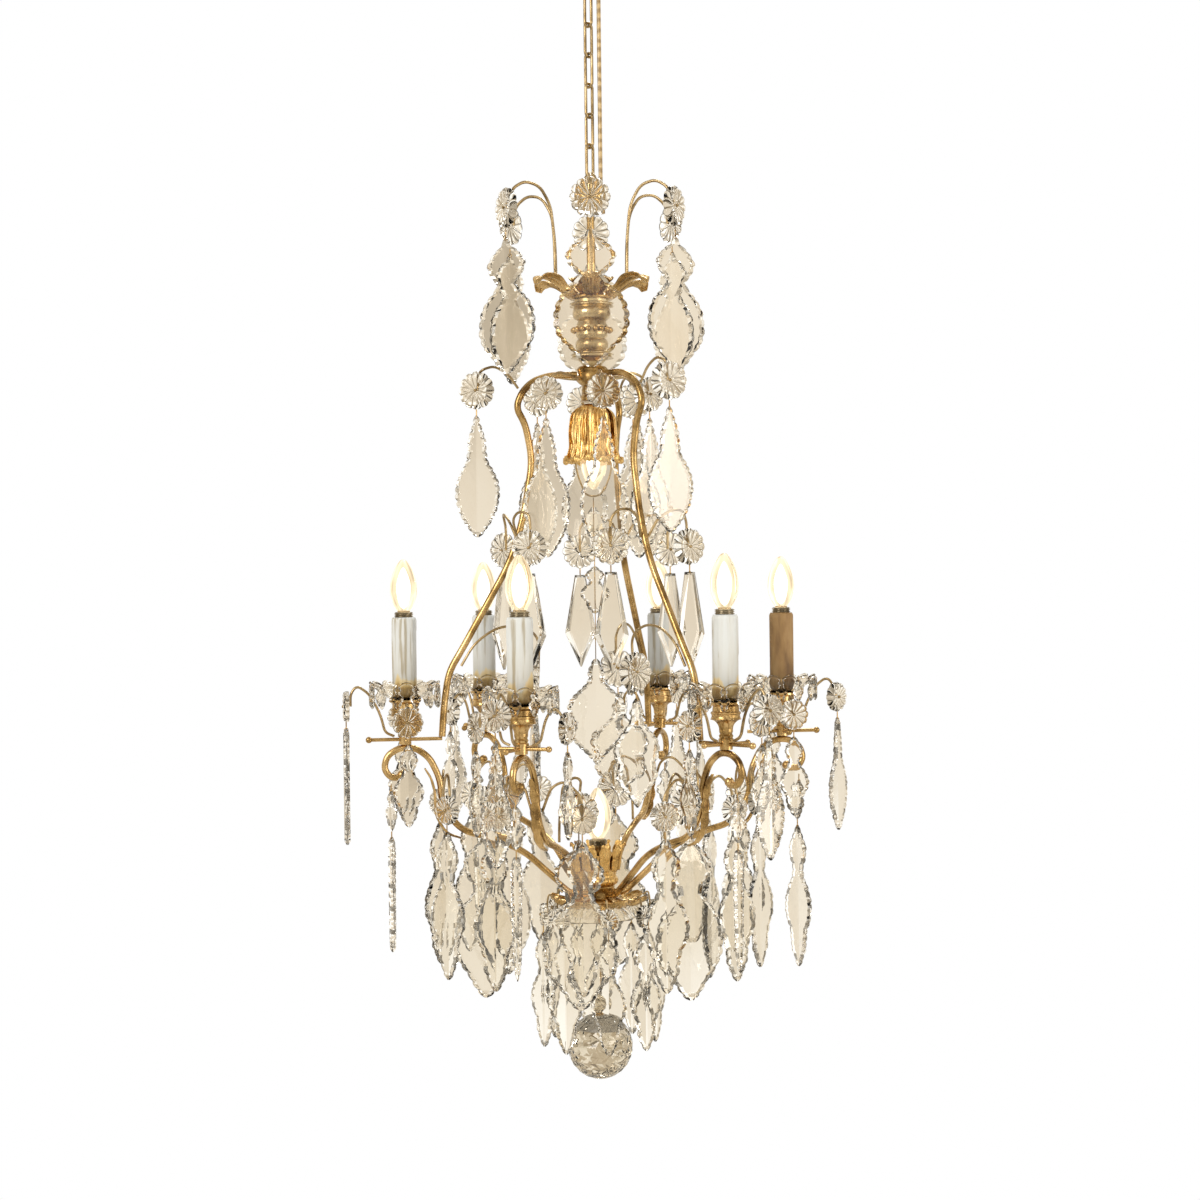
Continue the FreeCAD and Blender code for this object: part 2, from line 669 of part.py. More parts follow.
def at_candles(shape):
    return ring_of(moved(shape, Vec(CANDLE_R, 0, 0)), ARM_AZIMUTHS)


def candle_cups():
    """An urn cup with a post that runs on through the drip pan to the lamp holder."""
    z = CUP_BASE_Z
    top = z + CUP_HEIGHT
    return at_candles(turned([
        (0, z), (9.5, z), (9.5, z + 3), (8, z + 4), (9, z + 7), (7.5, z + 9), (8.5, z + 12),
        (8.5, z + 15, -0.35), (CUP_R, z + 27, -0.2), (CUP_R - 1.5, z + 33), (CUP_R - 0.5, z + 34),
        (CUP_R - 0.5, z + 36), (CUP_R - 2.5, z + 37), (CUP_R - 3, z + 43), (CUP_R + 1.5, top - 2.5),
        (CUP_R + 1.5, top), (POST_R, top), (POST_R, SLEEVE_Z + 12), (0, SLEEVE_Z + 12)]))


def drip_pans():
    """A moulded glass pan with a scalloped rim, bored for the post."""
    z = PAN_Z
    wall = PAN_WALL
    hole = POST_R + 0.4
    bowl = turned([(hole, z), (16, z), (28, z + 7, -0.2), (PAN_R - 4, z + PAN_HEIGHT - 7),
                   (PAN_R, z + PAN_HEIGHT - 5), (PAN_R, z + PAN_HEIGHT - 5 + wall),
                   (PAN_R - 6, z + PAN_HEIGHT - 7 + wall), (27, z + 7 + wall, 0.2),
                   (SLEEVE_R + 3, z + wall), (hole, z + wall)])
    notch = rod(Vec(PAN_R + 4, 0, z), Vec(PAN_R + 4, 0, z + PAN_HEIGHT + 9), 6.5)
    notches = ring_of(notch, [360.0 / PAN_LOBES * k for k in range(PAN_LOBES)])
    return at_candles(bowl.cut(Part.makeCompound(notches)))


def pan_beads():
    beads = []
    for k in range(PAN_LOBES):
        azimuth = 360.0 / PAN_LOBES * (k + 0.5)
        place = polar(PAN_R - 2, azimuth, PAN_Z + PAN_HEIGHT - 6.5)
        beads += at_candles(facing(drop(LEAF, PAN_BEAD, 6.0), place, azimuth))
    return beads


def candle_sleeves():
    z = SLEEVE_Z
    top = z + SLEEVE_HEIGHT
    inner = SLEEVE_R - SLEEVE_WALL
    return at_candles(turned([(inner, z), (SLEEVE_R, z), (SLEEVE_R, top - 4, 0.4),
                              (SLEEVE_R - 4, top), (HOLDER_R + 0.6, top),
                              (HOLDER_R + 0.6, top - SLEEVE_WALL), (inner - 2, top - SLEEVE_WALL),
                              (inner, top - 4)]))


def socket(top_z, low_z):
    """A lamp holder: a cup for the bulb's screw cap on a narrow foot."""
    inner = CAP_R + MOVE_GAP
    floor = top_z - CAP_LENGTH - MOVE_GAP
    return turned([(0, low_z), (POST_R, low_z), (POST_R, floor - 8), (HOLDER_R, floor - 5),
                   (HOLDER_R, top_z), (inner, top_z), (inner, floor), (0, floor)])


def lamp_holders():
    return at_candles(socket(HOLDER_TOP_Z, SLEEVE_Z + 12 + TOUCH_GAP))


def bulb(cap_top_z):
    """A candle bulb: screw cap below cap_top_z, flame-shaped glass above it."""
    low = cap_top_z - CAP_LENGTH + MOVE_GAP
    z = cap_top_z + MOVE_GAP
    return turned([(0, low), (4, low), (CAP_R, low + 4), (CAP_R, z), (CAP_R + 1.5, z),
                   (BULB_R, z + 26, 0.25), (0, z + BULB_HEIGHT)])


def candle_bulb(azimuth):
    return [spun(moved(bulb(HOLDER_TOP_Z), Vec(CANDLE_R, 0, 0)), azimuth)]


# ---------------------------------------------------------------- centre light and low hub


def bottom_hub():
    """The casting that the arms enter, with a lobed dish below them."""
    z = LOW_Z
    bore = STUD_R - 4
    core = turned([(0, z + 10), (GALLERY_BASE_R - 2, z + 10), (LOW_HUB_R, z + 6),
                   (LOW_HUB_R, z - 6), (30, z - 9), (34, z - 12), (bore, z - 12), (bore, z - 6),
                   (0, z - 6)])
    spine = [(26, z - 10.5), (42, z - 11), (56, z - 8), (DISH_R, z - 4)]
    lobe = leaf(spine, (22, 34, 30, 14), 2.6)
    return [fused([core] + ring_of(lobe, [a + 22.5 for a in BOTTOM_AZIMUTHS]))]


BOTTOM_AZIMUTHS = [FIRST_ARM + 45.0 * k for k in range(8)]
DISH_GLASS_TOP_Z = LOW_Z - 12.0 - TOUCH_GAP


def light_gallery():
    """A fluted cup with curled leaf tips round the centre lamp holder."""
    z = GALLERY_Z + TOUCH_GAP
    top = z + GALLERY_HEIGHT
    r = GALLERY_BASE_R
    cup = turned([(POST_R + 0.4, z), (r, z), (r + 2, z + 6, 0.5), (r, z + 12), (r + 3, top - 16),
                  (r + 0.5, top - 16), (r - 2.5, z + 12), (r - 2.5, z + 3), (POST_R + 0.4, z + 3)])
    spine = [(r + 1.5, z + 24), (r + 3, top - 16), (GALLERY_TOP_R - 3, top - 5),
             (GALLERY_TOP_R, top)]
    one = leaf(spine, (12, 15, 13, 7), 2.2)
    return [fused([cup] + ring_of(one, [360.0 / 10 * k for k in range(10)]))]


def fixed_lamp_holders():
    """The lamp holders of the centre light, which stands, and of the downlight, which hangs."""
    centre = socket(LIGHT_Z, GALLERY_Z + TOUCH_GAP)
    down = socket(0, DOWNLIGHT_Z - (BELL_Z - 3 - TOUCH_GAP))
    down.rotate(Vec(0, 0, 0), Vec(1, 0, 0), 180)
    return [centre, moved(down, Vec(0, 0, DOWNLIGHT_Z))]


def downlight_bulb():
    lamp = bulb(0)
    lamp.rotate(Vec(0, 0, 0), Vec(1, 0, 0), 180)
    return [moved(lamp, Vec(0, 0, DOWNLIGHT_Z))]


def glass_dish():
    """A glass flower dish under the low hub, turned over."""
    z = DISH_GLASS_TOP_Z
    hole = STUD_R + 0.4
    return [turned([(hole, z), (20, z), (40, z - 8, 0.2), (50, z - 19), (50, z - 22),
                    (46, z - 21), (37, z - 11, -0.2), (19, z - 3), (hole, z - 3)])]


def hub_stud():
    """The ribbed stud that closes the hub and carries the ball."""
    z = LOW_Z - 6 - TOUCH_GAP
    low = STUD_LOW_Z
    neck = STUD_R - 4 - TOUCH_GAP
    return [turned([(0, z), (neck, z), (neck, z - 6.5), (STUD_R, z - 8), (STUD_R, z - 16),
                    (STUD_R - 1.5, z - 18), (STUD_R, z - 20), (STUD_R - 1.5, z - 23),
                    (STUD_R, z - 26), (STUD_R, low + 6), (5, low), (0, low)])]


# ---------------------------------------------------------------- skirt

SKIRT_ROSETTE_R = 26.0
SKIRT_ROSETTE_Z = BAR_Z - 86.0
# Reach of each large rosette, its turn from its arm, and the azimuth that it faces.
SKIRT_STATIONS = ((160.0, 12.0, -18.0), (160.0, 12.0, 81.0), (160.0, 12.0, 141.0),
                  (158.0, 13.0, -118.0), (150.0, 12.0, -99.0), (150.0, 12.0, -62.0))
KNUCKLE_REACH = CANDLE_R - 40.0
KNUCKLE_TURN = 16.0
KNUCKLE_SHARE = 0.6
KNUCKLE_ROSETTE_R = 19.0
KNUCKLE_ROSETTE_Z = BAR_Z - 88.0
BOTTOM_REACH = 74.0
BOTTOM_ROSETTE_R = 15.0
BOTTOM_ROSETTE_Z = LOW_Z - 26.0


def skirt_places():
    """Centre and facing of each large skirt rosette."""
    places = []
    for arm, (reach, turn, face) in zip(ARM_AZIMUTHS, SKIRT_STATIONS):
        places.append((polar(reach, arm + turn, SKIRT_ROSETTE_Z), face))
    return places


def half_turned(azimuth):
    """The facing of a crystal that is turned part of the way from radial towards front or back."""
    square = math.copysign(90.0, math.sin(math.radians(azimuth)))
    off = (azimuth - square + 180.0) % 360.0 - 180.0
    return square + KNUCKLE_SHARE * off


def knuckle_places():
    places = []
    for arm in ARM_AZIMUTHS:
        for side in (-1, 1):
            azimuth = arm + side * KNUCKLE_TURN
            centre = polar(KNUCKLE_REACH, azimuth, KNUCKLE_ROSETTE_Z)
            places.append((centre, half_turned(azimuth)))
    return places


def bottom_places():
    return [(polar(BOTTOM_REACH, a, BOTTOM_ROSETTE_Z), a) for a in BOTTOM_AZIMUTHS]


def skirt_wires():
    wires = []
    for arm, (centre, face) in zip(ARM_AZIMUTHS, skirt_places()):
        on_arm = ARM_R + WIRE_R + TOUCH_GAP
        top = SKIRT_ROSETTE_Z + 44.0
        behind = centre - polar(26, face, 0)
        route = [polar(135, arm, LOW_Z + 76 + on_arm), polar(134, arm, LOW_Z + 108),
                 polar(138, arm + 3, top - 8), Vec(behind.x, behind.y, top)]
        wires.append(hook(route, centre, face))
    for k, (centre, face) in enumerate(knuckle_places()):
        side = -1 if k % 2 == 0 else 1
        arm = ARM_AZIMUTHS[k // 2]
        on_arm = CANDLE_R - 46
        beside = math.degrees((ARM_R + WIRE_R + 1.0) / on_arm)
        route = [polar(on_arm, arm + side * beside, BAR_Z - 80),
                 polar(on_arm - 3, arm + side * 5, BAR_Z - 50),
                 polar(on_arm - 3, arm + side * 10, BAR_Z - 42)]
        wires.append(hook(route, centre, face, rise=26.0))
    for centre, face in bottom_places():
        route = [polar(60, face, LOW_Z - 4.5), polar(66, face, LOW_Z + 1)]
        wires.append(hook(route, centre, face, 1.2))
    return wires


# ---------------------------------------------------------------- crystals


def station(r, azimuth, z):
    return (polar(r, azimuth, z), azimuth)


CROWN_PLACES = [station(CROWN_ROSETTE_R, a, CROWN_ROSETTE_Z) for a in CROWN_AZIMUTHS]
INNER_PLACES = [(polar(INNER_REACH, a, INNER_ROSETTE_Z), face) for a, face in INNER_TURNS]
SHOULDER_PLACES = [(polar(SHOULDER_REACH, a, SHOULDER_ROSETTE_Z), face)
                   for a, face in SHOULDER_TURNS]
WAIST_PLACES = [(polar(reach, rib + side * WAIST_TURN, WAIST_ROSETTE_Z), face)
                for rib, side, reach, face in WAIST_STATIONS]
FOOT_PLACES = [station(FOOT_REACH, a, FOOT_ROSETTE_Z) for a in RIB_AZIMUTHS]
CROWN_ROSETTE_SIZE = 26.0


def rosettes_at(places, radius):
    one = rosette(radius)
    return [facing(one, place, face) for place, face in places]


def drops_at(places, radius, form, size, thick=DROP_THICK):
    """Drops that hang one pin length below the edge of the rosettes at these places."""
    one = drop(form, size, thick)
    below = UP * (radius + PIN_LENGTH)
    return [facing(one, place - below, face) for place, face in places]


def pins_at(places, radius):
    return [pin_below(place - UP * radius) for place, face in places]


def arm_places():
    """Stations on every arm: the outer one, then one on each side."""
    outer = [(polar(OUTER_REACH, a, OUTER_ROSETTE_Z), face)
             for a, face in zip(ARM_AZIMUTHS, OUTER_FACINGS)]
    sides = []
    for arm in ARM_AZIMUTHS:
        for side in (-1, 1):
            place = Vec(CANDLE_R, side * SIDE_REACH, SIDE_ROSETTE_Z)
            turned_place = FreeCAD.Rotation(UP, arm).multVec(place)
            sides.append((turned_place, arm + side * 90))
    return outer, sides


def icicle_places():
    """Below the knob of each volute."""
    return [(polar(CANDLE_R + 19, a, BAR_Z - 58), half_turned(a)) for a in ARM_AZIMUTHS]


def upper_rosettes():
    return (rosettes_at(CROWN_PLACES, CROWN_ROSETTE_SIZE)
            + rosettes_at(INNER_PLACES, INNER_ROSETTE_R)
            + rosettes_at(SHOULDER_PLACES, SHOULDER_ROSETTE_R)
            + rosettes_at(WAIST_PLACES, WAIST_ROSETTE_R)
            + rosettes_at(FOOT_PLACES, FOOT_ROSETTE_R))


def arm_rosettes():
    outer, sides = arm_places()
    return rosettes_at(outer + sides, ARM_ROSETTE_R)


def skirt_rosettes():
    return (rosettes_at(skirt_places(), SKIRT_ROSETTE_R)
            + rosettes_at(knuckle_places(), KNUCKLE_ROSETTE_R)
            + rosettes_at(bottom_places(), BOTTOM_ROSETTE_R))


def skirt_plates():
    return (drops_at(skirt_places(), SKIRT_ROSETTE_R, BAROQUE, SKIRT_PLATE)
            + drops_at(knuckle_places(), KNUCKLE_ROSETTE_R, LEAF, KNUCKLE_PLATE, THIN))


def arm_drops():
    outer, sides = arm_places()
    icicles = icicle_places()
    return (drops_at(outer, ARM_ROSETTE_R, PEAR, OUTER_DROP, 8.0)
            + drops_at(sides, ARM_ROSETTE_R, LEAF, SIDE_DROP, THIN)
            + drops_at(icicles, 0, LEAF, SMALL_DROP, 6.0)
            + drops_at(icicles[:1], SMALL_DROP[0] + PIN_LENGTH, LEAF, LONG_LEAF, THIN)
            + drops_at(icicles[1:], SMALL_DROP[0] + PIN_LENGTH, ICICLE_FORM, ICICLE, 8.0))


def crystal_pins():
    outer, sides = arm_places()
    icicles = icicle_places()
    return (pins_at(INNER_PLACES, INNER_ROSETTE_R) + pins_at(SHOULDER_PLACES, SHOULDER_ROSETTE_R)
            + pins_at(WAIST_PLACES, WAIST_ROSETTE_R) + pins_at(FOOT_PLACES, FOOT_ROSETTE_R)
            + pins_at(outer + sides, ARM_ROSETTE_R) + pins_at(icicles, 0)
            + pins_at(icicles, SMALL_DROP[0] + PIN_LENGTH) + pins_at(skirt_places(), SKIRT_ROSETTE_R)
            + pins_at(knuckle_places(), KNUCKLE_ROSETTE_R)
            + pins_at(bottom_places(), BOTTOM_ROSETTE_R))


def crown_drop(place, face):
    """A moving drop and the pin that it swings on, just clear of its rosette."""
    edge = place - UP * (CROWN_ROSETTE_SIZE + MOVE_GAP)
    pin = rod(edge, place - UP * (CROWN_ROSETTE_SIZE + PIN_LENGTH + 4), PIN_R)
    plate = drops_at([(place, face)], CROWN_ROSETTE_SIZE + 4, BAROQUE, CROWN_DROP)
    return plate + [pin]


def centre_string():
    """The swinging string on the axis: prism, ring crystal, bead and a spade plate."""
    top = BAIL_Z - BAIL_R - MOVE_GAP
    prism = drop(COFFIN, (57, 30), 14.0)
    ring = drop(LEAF, (62, 40), 9.0)
    bead = ball(7.0, Vec(0, 0, -7.0))
    plate = drop(SPADE, INNER_PLATE, DROP_THICK)
    pieces = []
    z = top
    for piece, height, gap in ((prism, 57, 8), (ring, 62, 16), (bead, 14, 16),
                               (plate, INNER_PLATE[0], 20)):
        pieces.append(rod(Vec(0, 0, z), Vec(0, 0, z - gap - 5), PIN_R))
        z = z - gap - 5
        pieces.append(facing(piece, Vec(0, 0, z), -90))
        z = z - height
    return pieces


def crystal_ball():
    """The faceted ball under the stud, on a bead."""
    top = STUD_LOW_Z - MOVE_GAP
    centre = STUD_LOW_Z - 158.0
    bead_r = 13.0
    bead_z = centre + BALL_R + bead_r
    return [rod(Vec(0, 0, top), Vec(0, 0, bead_z + bead_r), PIN_R * 1.5),
            ball(bead_r, Vec(0, 0, bead_z)), ball(BALL_R, Vec(0, 0, centre))]


# ---------------------------------------------------------------- nodes


def all_nodes():
    links = chain()
    nodes = {
        "ceiling_crossbar": ceiling_crossbar(),
        "canopy_nipple": canopy_nipple(),
        "ceiling_canopy": ceiling_canopy(),
        "canopy_loop": canopy_loop(),
        "chain_link_top": links[:1],
        "chain_links": links[1:],
        "power_cord": power_cord(),
        "top_eye": top_eye(),
        "stem_tube": stem_tube(),
        "cord_gland": cord_gland(),
        "leaf_crown": leaf_crown(),
        "crown_wires": crown_wires(),
        "stem_baluster": stem_baluster(),
        "stem_beads": stem_beads(),
        "rib_hub": rib_hub(),
        "acanthus_bell": acanthus_bell(),
        "cage_ribs": cage_ribs(),
        "rib_wires": rib_wires(),
        "candle_arms": candle_arms(),
        "arm_sheaths": arm_sheaths(),
        "arm_crossbars": arm_crossbars(),
        "arm_hook_wires": arm_hook_wires(),
        "candle_cups": candle_cups(),
        "drip_pans": drip_pans(),
        "pan_beads": pan_beads(),
        "candle_sleeves": candle_sleeves(),
        "lamp_holders": lamp_holders(),
        "bottom_hub": bottom_hub(),
        "light_gallery": light_gallery(),
        "fixed_lamp_holders": fixed_lamp_holders(),
        "glass_dish": glass_dish(),
        "hub_stud": hub_stud(),
        "skirt_wires": skirt_wires(),
        "upper_rosettes": upper_rosettes(),
        "arm_rosettes": arm_rosettes(),
        "skirt_rosettes": skirt_rosettes(),
        "inner_drops": drops_at(INNER_PLACES, INNER_ROSETTE_R, PEAR, PEAR_DROP),
        "shoulder_drops": drops_at(SHOULDER_PLACES, SHOULDER_ROSETTE_R, PEAR, SHOULDER_DROP),
        "waist_drops": drops_at(WAIST_PLACES, WAIST_ROSETTE_R, COFFIN, WAIST_DROP),
        "inner_plates": drops_at(FOOT_PLACES, FOOT_ROSETTE_R, SPADE, INNER_PLATE),
        "arm_drops": arm_drops(),
        "skirt_plates": skirt_plates(),
        "bottom_drops": drops_at(bottom_places(), BOTTOM_ROSETTE_R, LEAF, BOTTOM_DROP, 7.0),
        "crystal_pins": crystal_pins(),
        "centre_string": centre_string(),
        "crystal_ball": crystal_ball(),
        "centre_bulb": [bulb(LIGHT_Z)],
        "downlight_bulb": downlight_bulb(),
    }
    for k, (place, face) in enumerate(CROWN_PLACES):
        nodes[f"crown_drop_{k + 1}"] = crown_drop(place, face)
    for k, azimuth in enumerate(ARM_AZIMUTHS):
        nodes[f"candle_bulb_{k + 1}"] = candle_bulb(azimuth)
    return nodes


def main():
    os.makedirs("parts", exist_ok=True)
    for name, solids in all_nodes().items():
        shape = solids[0] if len(solids) == 1 else Part.makeCompound(solids)
        shape.exportStep(f"parts/{name}.step")


main()
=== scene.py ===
"""Looks of the six-light crystal cage chandelier: cut crystal, gilt castings, candles and bulbs.

Metres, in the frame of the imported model. Every place comes from the frame's own solids.
"""

import json
import math

import bmesh
import bpy
import numpy as np
from mathutils import Matrix, Vector


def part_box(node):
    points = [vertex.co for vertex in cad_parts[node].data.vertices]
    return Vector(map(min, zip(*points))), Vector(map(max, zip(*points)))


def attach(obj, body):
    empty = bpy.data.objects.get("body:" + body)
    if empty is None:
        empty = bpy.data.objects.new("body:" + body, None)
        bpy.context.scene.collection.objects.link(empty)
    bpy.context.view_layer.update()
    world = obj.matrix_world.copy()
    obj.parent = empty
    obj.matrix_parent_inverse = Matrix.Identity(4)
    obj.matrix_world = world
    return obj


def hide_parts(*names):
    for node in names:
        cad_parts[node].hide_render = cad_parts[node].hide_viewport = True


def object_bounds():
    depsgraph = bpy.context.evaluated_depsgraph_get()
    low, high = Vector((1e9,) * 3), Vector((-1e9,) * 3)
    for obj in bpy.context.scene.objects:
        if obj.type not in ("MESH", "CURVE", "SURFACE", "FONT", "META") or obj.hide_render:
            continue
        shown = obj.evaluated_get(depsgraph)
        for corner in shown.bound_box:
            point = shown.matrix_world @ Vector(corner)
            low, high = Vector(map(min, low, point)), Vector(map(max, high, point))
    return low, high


MM = 0.001
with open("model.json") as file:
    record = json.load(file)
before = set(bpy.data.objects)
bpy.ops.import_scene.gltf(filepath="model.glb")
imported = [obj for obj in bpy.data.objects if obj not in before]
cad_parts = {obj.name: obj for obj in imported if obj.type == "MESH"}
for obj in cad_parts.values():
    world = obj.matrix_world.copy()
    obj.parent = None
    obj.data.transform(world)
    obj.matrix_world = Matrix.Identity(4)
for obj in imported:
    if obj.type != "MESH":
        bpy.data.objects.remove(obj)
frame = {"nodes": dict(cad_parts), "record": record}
cad_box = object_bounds()

# ---- camera

# The horizon of the picture runs through the drip pans, so the camera stands at their height.
CAMERA_HEIGHT = -0.895
CAMERA_DISTANCE = 2.64
CAMERA_LENS = 60.0
CAMERA_SIDE = 0.0065
CAMERA_ROLL = math.radians(-0.69)


def add_object(name, data):
    """A new object with this data, linked into the scene."""
    added = bpy.data.objects.new(name, data)
    bpy.context.scene.collection.objects.link(added)
    return added


def make_camera():
    data = bpy.data.cameras.new("camera")
    data.lens = CAMERA_LENS
    data.sensor_width = 36.0
    camera = add_object("camera", data)
    camera.location = (CAMERA_SIDE, -CAMERA_DISTANCE, CAMERA_HEIGHT)
    turn = Matrix.Rotation(math.radians(90), 4, "X") @ Matrix.Rotation(CAMERA_ROLL, 4, "Z")
    camera.rotation_euler = turn.to_euler()
    bpy.context.scene.camera = camera


# ---- materials


def new_material(name):
    material = bpy.data.materials.new(name)
    material.use_nodes = True
    nodes = material.node_tree.nodes
    return material, nodes, material.node_tree.links, nodes["Principled BSDF"]


def set_inputs(node, **values):
    for name, value in values.items():
        node.inputs[name.replace("_", " ")].default_value = value


def noise(nodes, links, scale, detail=4.0, stretch=(1, 1, 1)):
    """Noise over the object's own coordinates, in metres. Returns its 0 to 1 output."""
    place = nodes.new("ShaderNodeTexCoord")
    mapping = nodes.new("ShaderNodeMapping")
    mapping.inputs["Scale"].default_value = stretch
    texture = nodes.new("ShaderNodeTexNoise")
    set_inputs(texture, Scale=scale, Detail=detail)
    links.new(place.outputs["Object"], mapping.inputs["Vector"])
    links.new(mapping.outputs["Vector"], texture.inputs["Vector"])
    return texture.outputs["Fac"]


def ramp(nodes, links, source, stops):
    """A colour ramp of (position, colour) stops."""
    node = nodes.new("ShaderNodeValToRGB")
    elements = node.color_ramp.elements
    while len(elements) < len(stops):
        elements.new(0.5)
    for element, (position, colour) in zip(elements, stops):
        element.position = position
        element.color = (*colour, 1.0)
    links.new(source, node.inputs["Fac"])
    return node.outputs["Color"]


def mapped(nodes, links, source, start, end, low, high):
    """Maps values from start to end onto low to high."""
    node = nodes.new("ShaderNodeMapRange")
    set_inputs(node, From_Min=start, From_Max=end, To_Min=low, To_Max=high)
    links.new(source, node.inputs["Value"])
    return node.outputs["Result"]


def spread(nodes, links, source, low, high):
    """Maps noise, which runs from about 0.3 to 0.7, onto low to high."""
    return mapped(nodes, links, source, 0.3, 0.7, low, high)


def math_node(nodes, links, operation, source):
    node = nodes.new("ShaderNodeMath")
    node.operation = operation
    links.new(source, node.inputs[0])
    return node


def bump(nodes, links, source, shader, distance, strength=0.5):
    node = nodes.new("ShaderNodeBump")
    set_inputs(node, Strength=strength, Distance=distance)
    links.new(source, node.inputs["Height"])
    links.new(node.outputs["Normal"], shader.inputs["Normal"])


def brass_material(name, light, mid, dark, rough):
    """Gilt brass: worn patches, darker lacquer in cloudy stains, fine casting grain."""
    material, nodes, links, shader = new_material(name)
    shader.inputs["Metallic"].default_value = 1.0
    cloud = noise(nodes, links, 38.0, 8.0)
    colour = ramp(nodes, links, cloud, ((0.3, dark), (0.47, mid), (0.72, light)))
    links.new(colour, shader.inputs["Base Color"])
    links.new(spread(nodes, links, noise(nodes, links, 90.0), *rough), shader.inputs["Roughness"])
    bump(nodes, links, noise(nodes, links, 700.0), shader, 0.00025, 0.35)
    return material


def glass_material(name, tint, tint_deep, ior=1.54, rough=0.012, clear=1.0):
    """Old glass: tinted in slow clouds, a trace wavy from polishing. clear 1 lets all through."""
    material, nodes, links, shader = new_material(name)
    set_inputs(shader, IOR=ior, Transmission_Weight=clear)
    cloud = noise(nodes, links, 14.0, 2.0)
    links.new(ramp(nodes, links, cloud, ((0.35, tint_deep), (0.65, tint))),
              shader.inputs["Base Color"])
    links.new(spread(nodes, links, noise(nodes, links, 160.0), 0.0, rough),
              shader.inputs["Roughness"])
    bump(nodes, links, noise(nodes, links, 45.0, 2.0), shader, 0.0004, 0.25)
    return material


def bulb_glass_material():
    """The lit envelope: clear glass with a faint warm glow in slow clouds."""
    material, nodes, links, shader = new_material("bulb_envelope")
    set_inputs(shader, IOR=1.12, Transmission_Weight=1.0, Emission_Strength=1.0)
    cloud = noise(nodes, links, 30.0, 1.0)
    links.new(ramp(nodes, links, cloud, ((0.3, (0.9, 0.8, 0.62)), (0.7, (0.94, 0.86, 0.71)))),
              shader.inputs["Base Color"])
    links.new(spread(nodes, links, noise(nodes, links, 80.0), 0.0, 0.03),
              shader.inputs["Roughness"])
    links.new(ramp(nodes, links, cloud, ((0.2, (0.18, 0.155, 0.11)), (0.8, (0.24, 0.205, 0.15)))),
              shader.inputs["Emission Color"])
    return material


def glow_material(name, inner, outer, strength):
    """The bright heart of a lit bulb, a little yellower in its clouds."""
    material, nodes, links, shader = new_material(name)
    set_inputs(shader, Emission_Strength=strength, Roughness=0.6)
    colour = ramp(nodes, links, noise(nodes, links, 50.0), ((0.3, outer), (0.65, inner)))
    links.new(colour, shader.inputs["Emission Color"])
    links.new(colour, shader.inputs["Base Color"])
    return material


def paint_material():
    """Aged white paint on card: yellowed, thin towards the foot, with brushed runs."""
    material, nodes, links, shader = new_material("sleeve_paint")
    place = nodes.new("ShaderNodeTexCoord")
    split = nodes.new("ShaderNodeSeparateXYZ")
    links.new(place.outputs["Object"], split.inputs["Vector"])
    low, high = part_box("candle_sleeves")
    height = mapped(nodes, links, split.outputs["Z"], low.z, high.z, 0.0, 1.0)
    runs = noise(nodes, links, 60.0, 6.0, (1, 1, 0.25))
    worn = math_node(nodes, links, "MULTIPLY_ADD", runs)
    worn.inputs[1].default_value = 0.55
    links.new(height, worn.inputs[2])
    colour = ramp(nodes, links, worn.outputs["Value"],
                  ((0.36, (0.5, 0.33, 0.12)), (0.42, (0.74, 0.56, 0.26)),
                   (0.49, (0.78, 0.66, 0.42)), (0.52, (0.66, 0.67, 0.65)),
                   (1.0, (0.67, 0.71, 0.74))))
    streaks = noise(nodes, links, 150.0, 5.0, (1, 1, 0.07))
    stained = nodes.new("ShaderNodeMix")
    stained.data_type = "RGBA"
    stained.blend_type = "MULTIPLY"
    stained.inputs["Factor"].default_value = 1.0
    links.new(colour, stained.inputs[6])
    links.new(ramp(nodes, links, streaks, ((0.36, (0.6, 0.52, 0.4)), (0.44, (0.93, 0.91, 0.88)),
                                           (0.62, (1, 1, 1)))), stained.inputs[7])
    links.new(stained.outputs[2], shader.inputs["Base Color"])
    links.new(spread(nodes, links, runs, 0.35, 0.6), shader.inputs["Roughness"])
    bump(nodes, links, noise(nodes, links, 110.0, 6.0, (1, 1, 0.3)), shader, 0.0012, 0.6)
    return material


def card_material():
    """The bare brown card of the sleeve that has lost its paint."""
    material, nodes, links, shader = new_material("bare_card")
    grain = noise(nodes, links, 60.0, 8.0, (1, 1, 0.3))
    colour = ramp(nodes, links, grain, ((0.32, (0.16, 0.085, 0.03)), (0.52, (0.3, 0.18, 0.07)),
                                        (0.75, (0.42, 0.28, 0.13))))
    links.new(colour, shader.inputs["Base Color"])
    shader.inputs["Roughness"].default_value = 0.6
    bump(nodes, links, grain, shader, 0.0008, 0.5)
    return material


def steel_material():
    material, nodes, links, shader = new_material("zinc_steel")
    shader.inputs["Metallic"].default_value = 1.0
    grain = noise(nodes, links, 70.0, 6.0, (1, 8, 8))
    links.new(ramp(nodes, links, grain, ((0.3, (0.42, 0.42, 0.4)), (0.7, (0.62, 0.62, 0.6)))),
              shader.inputs["Base Color"])
    links.new(spread(nodes, links, grain, 0.25, 0.45), shader.inputs["Roughness"])
    bump(nodes, links, grain, shader, 0.0002, 0.3)
    return material


